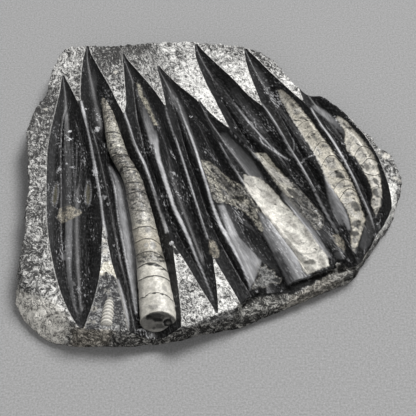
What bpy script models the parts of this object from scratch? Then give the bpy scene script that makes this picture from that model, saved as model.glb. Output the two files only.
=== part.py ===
"""Fossil plate: dark limestone ground in lens-shaped scoops around the straight shells in it.

Plan positions are in millimetres from a survey point on the plate, X to the right and Y away from
the front edge, and MIDDLE is the middle of the plate from there. Heights are in millimetres above
the underside. The finished plate is in metres, with the middle of its underside at the origin.
"""

import math

import bmesh
import bpy
from mathutils import Vector, noise

MM = 0.001
MIDDLE = (2.24, 29.76)
WELD = 1e-6

# Main sizes
ROCK_LEVEL = 22.0
BLOCK_MARGIN = 12.0
GRID_CELL = 7.5
LUMP_HEIGHT = 1.4
LUMP_SPACING = 11.0
CHIP_SHARE = 0.5
CHIP_SPACING = 5.5
SIDE_ROUGHNESS = 1.6
SIDE_LUMP_SPACING = 16.0
SIDE_POINT_SPACING = 9.0
SIDE_SEED = 3.7
LUMP_SEED = 0.4
CHIP_SEED = 5.1

# Edge of the plate, clockwise from the back left: x, y, how far the rim is set in, how far the foot is
OUTLINE = (
    (-117, 147, 2, 3), (-110, 153.8, 2, 4), (-98, 154, 1, 4), (-80, 153.8, 1, 4),
    (-60, 155, 1, 4), (-37, 158, 1, 5), (-13, 158.2, 1, 5), (8, 155.6, 1, 4), (27.5, 153, 1, 4),
    (41, 147, 1, 3), (50, 140, 1, 3), (58.5, 128, 1, 3), (65, 115.5, 1, 3), (73.5, 107, 0, 3),
    (86, 104, 0, 3), (97.2, 92.3, 0, 3), (105.8, 80.2, 0, 3), (116, 68, 1, 3), (123.5, 59, 1, 3),
    (126.5, 51.5, 1, 3), (134, 48.5, 2, 3), (137.7, 36.6, 2, 3), (141, 24, 2, 2), (137.7, 14.4, 3, 2),
    (134, 6.4, 3, 1), (131, -2.2, 2, 0), (126, -9.4, 1, 0), (119, -19.5, 1, 0), (110.8, -31.3, 1, 0),
    (105.7, -38.7, 0, 0), (104, -45, 1, 0), (93.5, -51.3, 1, 0), (78.5, -58.8, 2, 1),
    (62.5, -66.5, 2, 1), (47.7, -73.3, 2, 1), (40.4, -76.2, 3, 1), (26.7, -82.4, 4, 0),
    (13.2, -86, 5, 0), (1, -90, 2, 1), (-9.5, -93.5, 0, 3), (-21, -95.6, 1.5, 1),
    (-35.5, -97.7, 2, 1), (-50, -98, 2, 0), (-67, -97.7, 3, 0), (-86, -98.2, 6, 0),
    (-100, -96.2, 13, 0), (-110, -92, 18, 0), (-119.5, -84, 19, 0), (-126, -75.7, 16, 0),
    (-130.2, -68, 12, 0), (-131, -58.3, 7, 1), (-131.5, -44, 4, 2), (-129, -30, 2, 3),
    (-128, -17, 2, 3), (-129.6, -3, 2, 3), (-130, 6, 2, 3), (-129.3, 20, 2, 3), (-131.7, 33, 2, 3),
    (-132.7, 47, 2, 4), (-135, 59, 2, 4), (-136.7, 69, 2, 4), (-133.5, 83.6, 2, 4),
    (-128.6, 95.7, 2, 4), (-123.4, 104.2, 2, 3), (-123.8, 117.2, 2, 3), (-122, 131.6, 2, 3),
)
# Levels of the side: height, share of the foot's set-in, share of the rim's set-in
SIDE_LEVELS = (
    (0, 1.0, 0.0), (5, 0.25, 0.0), (11, 0.0, 0.25), (17, 0.0, 0.6), (22, 0.0, 1.0), (30, 0.0, 1.5),
)

# Sharp crests between neighbouring scoops, from back to front: y, x
CREST_12 = ((80, -93.3), (65, -88.2), (50, -84.4), (35, -81.2), (20, -78.2), (5, -75.3), (-10, -73))
RIDGE_2 = (
    (60, -78), (45, -74), (25, -68), (5, -64), (-15, -61), (-37, -56.5), (-60, -51.5), (-85, -47),
)
CREST_23 = (
    (84, -63.2), (75, -59.4), (62, -55.3), (45, -49), (28, -42.2), (10, -36), (-10, -30.3),
    (-28, -25.6),
)
CREST_34 = (
    (89, -31.2), (80, -28.3), (60, -23), (40, -17.8), (20, -12.3), (0, -6.7), (-20, -1.5), (-28, 0.6),
)
CREST_4 = (
    (95, -6), (80, -1.5), (62, 6.5), (52, 11.5), (41, 17), (30, 22), (13, 30), (4, 35.3), (-5, 40),
)
CREST_4_FRONT = ((-15, 45), (-25, 51), (-37, 58.5), (-50, 66), (-66, 73))
CREST_45 = (
    (71, 15.2), (60, 24), (50, 32), (41, 38.5), (27, 47.7), (12, 57.7), (-5, 68), (-22, 77.5),
    (-34, 82.5),
)
CREST_56 = (
    (93, 40.3), (84, 45.6), (78, 49), (65, 56), (50, 62.3), (36, 68.3), (22, 74.4), (7, 80.8),
    (-7, 86.8),
)
CREST_67 = (
    (95, 72.4), (87, 78), (79, 82), (67, 88), (55, 94), (44, 99), (32, 103.2), (20, 107.2), (7, 111),
    (-7, 114),
)

# The ground scoops: left edge, right edge (y, x),
# then how far each edge drops below the rock: drop, its back end, its front end
SCOOPS = (
    (
        ((122, -112.3), (105, -112.5), (90, -114), (70, -116), (50, -117), (20, -115), (-10, -112),
         (-30, -108.5), (-50, -103.5), (-70, -97), (-85, -90), (-96, -82.5)),
        ((122, -111.7), (112, -106), (105, -103), (95, -98.5), *CREST_12, (-25, -73), (-45, -72.5),
         (-60, -73.5), (-72, -75.5), (-85, -78.5), (-96, -81.5)),
        (0, 0, 0), (4, 95, -15),
    ),
    (
        ((97, -98), *CREST_12, (-16, -71.5), (-30, -68.5), (-45, -65), (-60, -60), (-75, -56),
         (-104, -49)),
        ((97, -96.5), (80, -84), *RIDGE_2, (-104, -45)),
        (4, 95, -15), (6.5, 99, -170),
    ),
    (
        ((153, -95.4), (140, -97.3), (120, -97.5), (105, -96.8), (95, -96), (80, -92.3), (70, -86),
         *RIDGE_2, (-104, -45)),
        ((153, -94.6), (147, -93), (134, -87), (122, -81), (110, -75), (96, -69), (88, -65.5),
         *CREST_23, (-38, -23.3), (-50, -22), (-60, -20.5), (-80, -18), (-104, -17)),
        (6.5, 99, -170), (4.5, 86, -38),
    ),
    (
        ((145, -67.3), (130, -65.2), (115, -63.6), (100, -62), (90, -61.4), *CREST_23, (-40, -18),
         (-53, -11), (-65, -5), (-84, 6)),
        ((145, -66.7), (138, -63), (130, -57), (120, -50), (110, -43), (100, -37), (93, -33.5),
         *CREST_34, (-44, 3.3), (-57, 5), (-68, 6), (-84, 6.6)),
        (4.5, 86, -38), (4.5, 89, -42),
    ),
    (
        ((132.5, -40.3), (116, -36), (100, -33), (93, -31.7), *CREST_34, (-45, 5), (-52, 9), (-60, 13),
         (-68, 17), (-84, 25)),
        ((132.5, -39.7), (125, -33), (113, -24), (103, -14), *CREST_4, *CREST_4_FRONT, (-84, 80)),
        (4.5, 89, -42), (4, 100, -190),
    ),
    (
        ((97, -7.5), *CREST_4, *CREST_4_FRONT),
        ((97, -6.8), (93, -5), (87, 0), (80, 5), (74, 11), *CREST_45, (-50, 88), (-66, 92)),
        (4, 98, -190), (4, 71, -190),
    ),
    (
        ((155, -10.6), (140, -9.5), (125, -5), (110, 0), (99, 5), (90, 8), (83, 11), (76, 13.7),
         *CREST_45, (-45, 84)),
        ((155, -9.8), (149, -5), (142, 0), (129.5, 10), (117.5, 20), (105, 28), (96, 35), *CREST_56,
         (-21, 93), (-33, 98), (-45, 103)),
        (4, 71, -190), (4, 93, -190),
    ),
    (
        ((150, 28.2), (137, 29.5), (126, 31.5), (115, 34.5), (103, 38), *CREST_56, (-21, 93), (-33, 98),
         (-50, 104)),
        ((150, 28.8), (141, 37), (129, 45), (117.5, 54), (106, 63), (98, 69.5), *CREST_67, (-14, 115.5),
         (-30, 117), (-50, 119)),
        (4, 93, -190), (4, 97, -190),
    ),
    (
        ((112, 68.5), (103, 71), *CREST_67, (-14, 115.5), (-30, 117), (-45, 119)),
        ((112, 77), (104, 87.5), (92, 99.5), (80, 105), (72, 110.5), (64, 115), (53, 120), (42, 124),
         (30, 126.5), (20, 128.3), (10, 129), (0, 129), (-10, 128), (-25, 127), (-45, 126)),
        (4, 97, -190), (1.5, 60, 5),
    ),
    (
        ((3, 9), (-5, 10.5), (-12, 13.5), (-22, 18.5), (-30, 23.5), (-38, 29), (-47, 36), (-57, 47)),
        ((3, 13), (-5, 20), (-12, 29), (-22, 35.5), (-30, 38.5), (-38, 42.5), (-47, 46.5), (-57, 49)),
        (3.5, 60, -190), (5, 60, -190),
    ),
)
SCOOP_ROW_SPACING = 11.0
SCOOP_SHARE = 0.33
SCOOP_DEEPEST = 10.0
SCOOP_CURVE = 1.8
SCOOP_WALL_TOP = 26.5
SCOOP_LEAST_SLOPE = 0.8
SCOOP_TOP = 42.0
SCOOP_POINTS = 8
DROP_RUN = 42.0

# The shells and the worn ribs beside them: y, x, half width and height of the crown
SHELLS = (
    ((104, -108.5, 2, 13), (85, -105, 6, 17.5), (60, -100.5, 9, 19), (20, -96, 10.5, 19.5),
     (-15, -94, 10, 19.5), (-45, -91, 8, 19), (-75, -86, 4.5, 17), (-92, -82.5, 1.5, 15)),
    ((114, -82.5, 1, 13), (103, -79, 3, 16.5), (88, -75.1, 4.3, 18.5), (72, -71.4, 5.4, 20),
     (60, -68.5, 6.2, 20.5), (50, -65.3, 6.2, 21), (38, -59.2, 5.8, 21), (30, -55.2, 6.2, 21),
     (14, -50.8, 7, 21.3), (2, -48, 7.5, 22), (-13, -44.7, 8.1, 22.6), (-37, -40, 9.3, 23.8),
     (-57, -36.5, 10.8, 24.6), (-86, -32.5, 11.9, 25.2), (-90, -32.2, 10.9, 23.4)),
    ((134, -61, 1, 13), (115, -54.5, 4.5, 17.5), (90, -46.5, 7.5, 19.5), (60, -37.5, 8.5, 20),
     (30, -28.5, 8, 19.5), (0, -19.5, 7, 19), (-30, -9, 5.5, 18), (-58, 0, 3, 17), (-74, 5, 1, 16)),
    ((122, -33.5, 1.5, 14), (100, -22.5, 5.5, 18.5), (75, -12.5, 8.5, 19.5), (50, -4, 9, 19.8),
     (25, 3.5, 9, 20), (8, 7.5, 8.5, 20), (-10, 11.5, 7.5, 19.8), (-25, 16.5, 7, 19.8),
     (-42, 23.5, 6.3, 19.5), (-58, 29.5, 5, 18.5), (-68, 33, 3.5, 16)),
    ((40, 3, 3, 17), (28, 11, 8, 19.8), (14, 19.5, 9, 20.2), (2, 27, 7.5, 20), (-10, 35, 6.3, 19.5),
     (-25, 45, 6.3, 19.5), (-42, 54, 6.3, 19), (-60, 62.5, 6, 18)),
    ((33, 28, 3, 16), (22, 34.5, 8, 20), (5, 46, 10.5, 21.8), (-15, 58.5, 11.5, 22.2),
     (-35, 70, 11, 22), (-53, 78.5, 10, 21.5)),
    ((134, 1.5, 1, 14), (112, 11.5, 4, 18), (92, 22, 6, 19.5), (72, 33.5, 6.5, 20), (55, 45, 5.2, 19.5),
     (44, 53, 3.5, 17), (32, 61.5, 1, 12)),
    ((49, 34, 1.5, 17), (38, 43, 4, 20), (25, 53, 5.5, 20.5), (8, 65, 6, 20.5), (-10, 76.5, 6, 20),
     (-28, 87, 5, 19), (-41, 92.5, 4, 17)),
    ((110, 54, 1.5, 15), (100, 58.5, 4.5, 19), (84, 67, 6.6, 21), (66, 76, 7.3, 21.5),
     (45, 85, 7.8, 21.5), (22, 93.3, 8, 21.5), (0, 99.8, 8.2, 21), (-18, 101.5, 6.5, 19.5),
     (-36, 100.8, 4, 16.5)),
    ((95, 82.5, 3, 15.5), (80, 93, 4, 18.5), (64, 105, 5.8, 20), (50, 110.5, 7.2, 20.5),
     (36, 115.5, 6.8, 20.5), (22, 119, 5.5, 20), (8, 119.5, 4.5, 19.5), (-8, 117, 3, 17)),
)
SHELL_FLANK = 1.1
SHELL_CLEAR = 1.0
SHELL_SEGMENTS = 4

# The lower, darker rock between the first two scoops, with a small ribbed shell in it
WEDGE = (
    (-20, -72.3, 0.5), (-30, -70.8, 1.8), (-45, -68.7, 3.8), (-60, -66.8, 6.8), (-75, -65.8, 9.8),
    (-104, -65, 15.3),
)
WEDGE_DROP = 2.6
WEDGE_FLARE = 3.0
RIBBED_SHELL = ((-72, -66.5, 2.5, 20.8), (-80, -65.8, 4.2, 21.2), (-91, -65.3, 5, 21.5))

# The open end of the largest shell:
# a chamber (x, y, z, half width, half height) and a tube (x, y, z, radius)
END_CHAMBER = (-34.5, -91.0, 17.6, 7.0, 3.2)
END_TUBE = (-26.8, -91.0, 12.6, 3.2)
END_DEPTH = 6.0
END_SIDES = 16

# The sawn step and the rough ledge along the front right
STEP_LINE = (
    (18, -82), (26, -70), (38, -63), (50, -61.5), (53, -59), (66, -54.5), (84, -47.5), (97, -44.5),
    (106, -45),
)
STEP_FLOOR = 14.5
STEP_FALL = 0.3
STEP_REACHES = (5.0, 10.0, 40.0)
STEP_ROUGHNESS = 1.4
STEP_LUMP_SPACING = 7.0
STEP_SEED = 8.2


def at(table, y, column=1):
    """The value in this column at y, between the rows of a table that runs from back to front."""
    if y >= table[0][0]:
        return table[0][column]
    for upper, lower in zip(table, table[1:]):
        if y >= lower[0]:
            share = (upper[0] - y) / (upper[0] - lower[0])
            return upper[column] + (lower[column] - upper[column]) * share
    return table[-1][column]


def eased(value):
    value = min(1.0, max(0.0, value))
    return value * value * (3.0 - 2.0 * value)


def edge_height(drop, y):
    """A scoop's edge starts at the rock, sinks along a crest and comes back up at its far end."""
    depth, back, front = drop
    return ROCK_LEVEL - depth * eased((back - y) / DROP_RUN) * eased((y - front) / DROP_RUN)


def lump(x, y, z, spacing, seed):
    """Smooth seeded noise, about -1 to 1."""
    return noise.noise(Vector((x / spacing, y / spacing, z / spacing + seed)))


def new_object(name, mesh_data, collection):
    obj = bpy.data.objects.new(name, mesh_data)
    obj.parent = survey_point
    collection.objects.link(obj)
    return obj


def object_from_rings(name, rings, collection):
    """A closed solid through rings with the same number of points, with a flat face on each end."""
    bm = bmesh.new()
    loops = [[bm.verts.new([c * MM for c in point]) for point in ring] for ring in rings]
    for first, second in zip(loops, loops[1:]):
        for i in range(len(first)):
            j = (i + 1) % len(first)
            bm.faces.new((first[i], first[j], second[j], second[i]))
    bm.faces.new(loops[0][::-1])
    bm.faces.new(loops[-1])
    bmesh.ops.triangulate(bm, faces=bm.faces[:])
    bmesh.ops.recalc_face_normals(bm, faces=bm.faces[:])
    mesh = bpy.data.meshes.new(name)
    bm.to_mesh(mesh)
    bm.free()
    return new_object(name, mesh, collection)


def boolean(target, helpers, operation):
    """All solids of the collection are cut from, joined to or intersected with the target at once."""
    modifier = target.modifiers.new(helpers.name, "BOOLEAN")
    modifier.operation = operation
    modifier.solver = "EXACT"
    modifier.operand_type = "COLLECTION"
    modifier.collection = helpers


def spaced_outline():
    """The plate's edge at an even spacing: x, y, rim set-in, foot set-in, outward direction."""
    points = []
    for index, start in enumerate(OUTLINE):
        end = OUTLINE[(index + 1) % len(OUTLINE)]
        run = Vector((end[0] - start[0], end[1] - start[1]))
        steps = max(1, round(run.length / SIDE_POINT_SPACING))
        outward = Vector((-run.y, run.x)).normalized()
        for step in range(steps):
            share = step / steps
            values = [a + (b - a) * share for a, b in zip(start, end)]
            points.append((*values, outward))
    smooth = []
    for index, point in enumerate(points):
        outward = (points[index - 1][4] + point[4]).normalized()
        smooth.append((*point[:4], outward))
    return smooth


def make_side_solid(collection):
    """The rough outline of the plate, taller than the rock, which trims the block to its edge."""
    rings = []
    for height, foot_share, rim_share in SIDE_LEVELS:
        ring = []
        for x, y, rim, foot, outward in spaced_outline():
            bump = SIDE_ROUGHNESS * lump(x, y, height, SIDE_LUMP_SPACING, SIDE_SEED)
            inset = foot * foot_share + rim * rim_share + abs(bump)
            ring.append((x - outward.x * inset, y - outward.y * inset, height))
        rings.append(ring)
    return object_from_rings("side_trim", rings, collection)


def make_rock(collection):
    """A block whose top carries the low lumps of the rough, unground rock."""
    xs = [p[0] for p in OUTLINE]
    ys = [p[1] for p in OUTLINE]
    width = max(xs) - min(xs) + 2 * BLOCK_MARGIN
    length = max(ys) - min(ys) + 2 * BLOCK_MARGIN
    middle = Vector(((max(xs) + min(xs)) / 2, (max(ys) + min(ys)) / 2, ROCK_LEVEL))
    bm = bmesh.new()
    bmesh.ops.create_grid(
        bm, x_segments=round(width / GRID_CELL), y_segments=round(length / GRID_CELL), size=0.5
    )
    for vert in bm.verts:
        x = middle.x + vert.co.x * width
        y = middle.y + vert.co.y * length
        low_lump = lump(x, y, 0, LUMP_SPACING, LUMP_SEED)
        chip = CHIP_SHARE * lump(x, y, 0, CHIP_SPACING, CHIP_SEED)
        vert.co = Vector((x, y, ROCK_LEVEL + LUMP_HEIGHT * (low_lump + chip))) * MM
    skirt = bmesh.ops.extrude_edge_only(bm, edges=[e for e in bm.edges if e.is_boundary])
    for vert in [g for g in skirt["geom"] if isinstance(g, bmesh.types.BMVert)]:
        vert.co.z = -BLOCK_MARGIN * MM
    bmesh.ops.edgeloop_fill(bm, edges=[e for e in bm.edges if e.is_boundary])
    bmesh.ops.triangulate(bm, faces=bm.faces[:])
    bmesh.ops.recalc_face_normals(bm, faces=bm.faces[:])
    mesh = bpy.data.meshes.new("plate")
    bm.to_mesh(mesh)
    bm.free()
    return new_object("plate", mesh, collection)


def scoop_rows(left, right):
    back = left[0][0]
    front = max(left[-1][0], right[-1][0])
    rows = max(2, round((back - front) / SCOOP_ROW_SPACING))
    return [back + (front - back) * i / rows for i in range(rows + 1)]


def make_scoop(name, scoop, collection):
    """A grinding wheel's path: hollow across its width, and shallow where it is narrow.

    Its walls run on upward past the edges, to clear the rock above them.
    """
    left, right, left_drop, right_drop = scoop
    rings = []
    for y in scoop_rows(left, right):
        start = Vector((at(left, y), edge_height(left_drop, y)))
        end = Vector((at(right, y), edge_height(right_drop, y)))
        depth = min(SCOOP_DEEPEST, SCOOP_SHARE * (end.x - start.x))
        hollow = []
        for i in range(1, SCOOP_POINTS):
            share = i / SCOOP_POINTS
            lowered = depth * (1.0 - abs(2.0 * share - 1.0) ** SCOOP_CURVE)
            hollow.append(start.lerp(end, share) - Vector((0.0, lowered)))
        for edge, inside, index in ((start, hollow[0], 0), (end, hollow[-1], SCOOP_POINTS)):
            wall = edge - inside
            wall.y = max(wall.y, SCOOP_LEAST_SLOPE * abs(wall.x))
            hollow.insert(index, edge + wall * (SCOOP_WALL_TOP - edge.y) / wall.y)
        outline = [(hollow[0].x, SCOOP_TOP), *hollow, (hollow[-1].x, SCOOP_TOP)]
        rings.append([(across, y, up) for across, up in outline])
    return object_from_rings(name, rings, collection)


def make_shell(name, rows, collection):
    """A round shell lying in the rock: a tapering tube along the line of its crown."""
    curve = bpy.data.curves.new(name, "CURVE")
    curve.dimensions = "3D"
    curve.bevel_depth = MM
    curve.bevel_resolution = SHELL_SEGMENTS
    curve.use_fill_caps = True
    spline = curve.splines.new("POLY")
    spline.points.add(len(rows) - 1)
    for point, (y, x, half_width, crown) in zip(spline.points, rows):
        radius = min(half_width * SHELL_FLANK, (crown - SHELL_CLEAR) / 2)
        point.co = (x * MM, y * MM, (crown - radius) * MM, 1.0)
        point.radius = radius
    tube = bpy.data.objects.new(name, curve)
    bm = bmesh.new()
    bm.from_mesh(bpy.data.meshes.new_from_object(tube))
    bpy.data.objects.remove(tube)
    bmesh.ops.remove_doubles(bm, verts=bm.verts[:], dist=WELD)
    bmesh.ops.recalc_face_normals(bm, faces=bm.faces[:])
    mesh = bpy.data.meshes.new(name)
    bm.to_mesh(mesh)
    bm.free()
    return new_object(name, mesh, collection)


def make_wedge(collection):
    rings = []
    for y, x, half_width in WEDGE:
        floor = ROCK_LEVEL - WEDGE_DROP
        rings.append([
            (x - half_width - WEDGE_FLARE, y, SCOOP_TOP), (x - half_width, y, floor),
            (x + half_width, y, floor), (x + half_width + WEDGE_FLARE, y, SCOOP_TOP),
        ])
    return object_from_rings("wedge_cut", rings, collection)


def make_step(collection):
    """What is broken away above the ledge: an upright sawn face and a rough floor falling outward."""
    rings = []
    for x, y in STEP_LINE:
        ring = [(x, y, SCOOP_TOP), (x, y, STEP_FLOOR)]
        for reach in STEP_REACHES:
            rough = STEP_ROUGHNESS * lump(x, y - reach, 0, STEP_LUMP_SPACING, STEP_SEED)
            ring.append((x, y - reach, STEP_FLOOR - STEP_FALL * reach + rough))
        ring.append((x, y - STEP_REACHES[-1], SCOOP_TOP))
        rings.append(ring)
    return object_from_rings("step_cut", rings, collection)


def make_chamber(name, x, y, z, across, high, collection):
    """A shallow hole going back into the open end of the largest shell."""
    bpy.ops.mesh.primitive_cylinder_add(
        vertices=END_SIDES, radius=MM, depth=2 * END_DEPTH * MM, rotation=(math.pi / 2, 0, 0),
        location=(x * MM, y * MM, z * MM),
    )
    obj = bpy.context.object
    obj.name = name
    obj.scale = (across, high, 1.0)
    obj.parent = survey_point
    for owner in obj.users_collection:
        owner.objects.unlink(obj)
    collection.objects.link(obj)
    return obj


def stone_material():
    material = bpy.data.materials.new("polished_limestone")
    material.use_nodes = True
    shader = material.node_tree.nodes["Principled BSDF"]
    shader.inputs["Base Color"].default_value = (0.045, 0.043, 0.042, 1.0)
    shader.inputs["Roughness"].default_value = 0.35
    shader.inputs["Metallic"].default_value = 0.0
    return material


for old in list(bpy.data.objects):
    bpy.data.objects.remove(old, do_unlink=True)

parts = bpy.data.collections.new("orthoceras_plate")
bpy.context.scene.collection.children.link(parts)
cutters = bpy.data.collections.new("cutters")
bpy.context.scene.collection.children.link(cutters)
cutters.hide_render = True
survey_point = bpy.data.objects.new("survey_point", None)
survey_point.location = (-MIDDLE[0] * MM, -MIDDLE[1] * MM, 0.0)
parts.objects.link(survey_point)
side = bpy.data.collections.new("side")
scoops = bpy.data.collections.new("scoops")
shells = bpy.data.collections.new("shells")
breaks = bpy.data.collections.new("breaks")
for group in (side, scoops, shells, breaks):
    cutters.children.link(group)

make_side_solid(side)
make_wedge(scoops)
for number, scoop in enumerate(SCOOPS, start=1):
    make_scoop(f"scoop_{number}", scoop, scoops)
for number, rows in enumerate((*SHELLS, RIBBED_SHELL), start=1):
    make_shell(f"shell_{number}", rows, shells)
make_step(breaks)
make_chamber("chamber", *END_CHAMBER, breaks)
x, y, z, radius = END_TUBE
make_chamber("tube", x, y, z, radius, radius, breaks)

plate = make_rock(parts)
boolean(plate, side, "INTERSECT")
boolean(plate, scoops, "DIFFERENCE")
boolean(plate, shells, "UNION")
boolean(plate, breaks, "DIFFERENCE")
plate.data.materials.append(stone_material())

for helper in cutters.all_objects:
    helper.display_type = "WIRE"
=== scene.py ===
"""Fossil plate of dark limestone, ground and polished in scoops around straight shells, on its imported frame.

Plan positions are in millimetres from a survey point on the plate, X to the right and Y away from
the front edge. Heights are in millimetres above the underside. Tables run from back to front.
"""

import math

import bpy
import numpy as np
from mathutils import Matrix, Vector, kdtree, noise
from mathutils.geometry import delaunay_2d_cdt


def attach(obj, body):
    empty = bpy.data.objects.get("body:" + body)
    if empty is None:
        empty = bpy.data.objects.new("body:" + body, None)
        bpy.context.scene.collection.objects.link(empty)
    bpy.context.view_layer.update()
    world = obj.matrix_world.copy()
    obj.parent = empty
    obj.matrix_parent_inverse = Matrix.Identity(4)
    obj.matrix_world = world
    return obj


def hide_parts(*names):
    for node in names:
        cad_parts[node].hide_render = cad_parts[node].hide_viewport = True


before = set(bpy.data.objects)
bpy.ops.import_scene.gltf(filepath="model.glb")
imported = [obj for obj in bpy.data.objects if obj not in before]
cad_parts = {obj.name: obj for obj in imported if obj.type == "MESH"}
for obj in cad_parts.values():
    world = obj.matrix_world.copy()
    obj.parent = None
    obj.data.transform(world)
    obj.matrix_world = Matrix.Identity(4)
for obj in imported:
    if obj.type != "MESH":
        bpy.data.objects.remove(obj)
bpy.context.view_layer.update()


# The camera looks down on the front edge of the plate from half way up, with a long lens.
# It aims at the survey point, which lies a little in front of the middle of the plate.
MM = 0.001
MIDDLE = Vector((2.24, 29.76))
CAMERA_REACH = 690
CAMERA_ELEVATION = math.radians(56)
AIM_HEIGHT = 20

camera_data = bpy.data.cameras.new("camera")
camera_data.lens = 85
camera_data.sensor_width = 36
camera_data.clip_start = 0.05
camera = bpy.data.objects.new("camera", camera_data)
camera.location = (
    -MIDDLE.x * MM,
    (-MIDDLE.y - CAMERA_REACH * math.cos(CAMERA_ELEVATION)) * MM,
    (AIM_HEIGHT + CAMERA_REACH * math.sin(CAMERA_ELEVATION)) * MM,
)
camera.rotation_euler = (math.pi / 2 - CAMERA_ELEVATION, 0, 0)
bpy.context.scene.collection.objects.link(camera)
bpy.context.scene.camera = camera


# The plate is one slab of black limestone, sawn flat underneath and broken round its edge.
# Lens-shaped scoops were ground along each shell and polished; the rock between them was
# left as the chisel left it, pale with crushed calcite.
ROCK_LEVEL = 22.0
SWEEP_STEP = 0.5
SWEEP = np.arange(-112.0, 172.0, SWEEP_STEP)
BLUR = 3.0
BLUR_STEPS = 20


def smoothed(curve):
    reach = np.arange(-BLUR_STEPS, BLUR_STEPS + 1) * SWEEP_STEP
    kernel = np.exp(-0.5 * (reach / BLUR) ** 2)
    return np.convolve(np.pad(curve, BLUR_STEPS, mode="edge"), kernel / kernel.sum(), mode="valid")


def swept(rows):
    """The columns of a table (y, ...) as smooth curves over SWEEP."""
    table = np.array(sorted(rows), float)
    return [smoothed(np.interp(SWEEP, table[:, 0], column)) for column in table.T[1:]]


def read(curve, y):
    return np.interp(y, SWEEP, curve)


def eased(value):
    value = np.clip(value, 0.0, 1.0)
    return value * value * (3.0 - 2.0 * value)


CREST_12 = ((80, -93.3), (65, -88.2), (50, -84.4), (35, -81.2), (20, -78.2), (5, -75.3), (-10, -73))
RIDGE_2 = (
    (60, -78), (45, -74), (25, -68), (5, -64), (-15, -61), (-37, -56.5), (-60, -51.5), (-85, -47),
)
CREST_23 = (
    (84, -63.2), (75, -59.4), (62, -55.3), (45, -49), (28, -42.2), (10, -36), (-10, -30.3),
    (-28, -25.6),
)
CREST_34 = (
    (89, -31.2), (80, -28.3), (60, -23), (40, -17.8), (20, -12.3), (0, -6.7), (-20, -1.5), (-28, 0.6),
)
CREST_4 = (
    (95, -6), (80, -1.5), (62, 6.5), (52, 11.5), (41, 17), (30, 22), (13, 30), (4, 35.3), (-5, 40),
)
CREST_4_FRONT = ((-15, 45), (-25, 51), (-37, 58.5), (-50, 66), (-66, 73))
CREST_45 = (
    (71, 15.2), (60, 24), (50, 32), (41, 38.5), (27, 47.7), (12, 57.7), (-5, 68), (-22, 77.5),
    (-34, 82.5),
)
CREST_56 = (
    (93, 40.3), (84, 45.6), (78, 49), (65, 56), (50, 62.3), (36, 68.3), (22, 74.4), (7, 80.8),
    (-7, 86.8),
)
CREST_67 = (
    (95, 72.4), (87, 78), (79, 82), (67, 88), (55, 94), (44, 99), (32, 103.2), (20, 107.2), (7, 111),
    (-7, 114),
)
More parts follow.
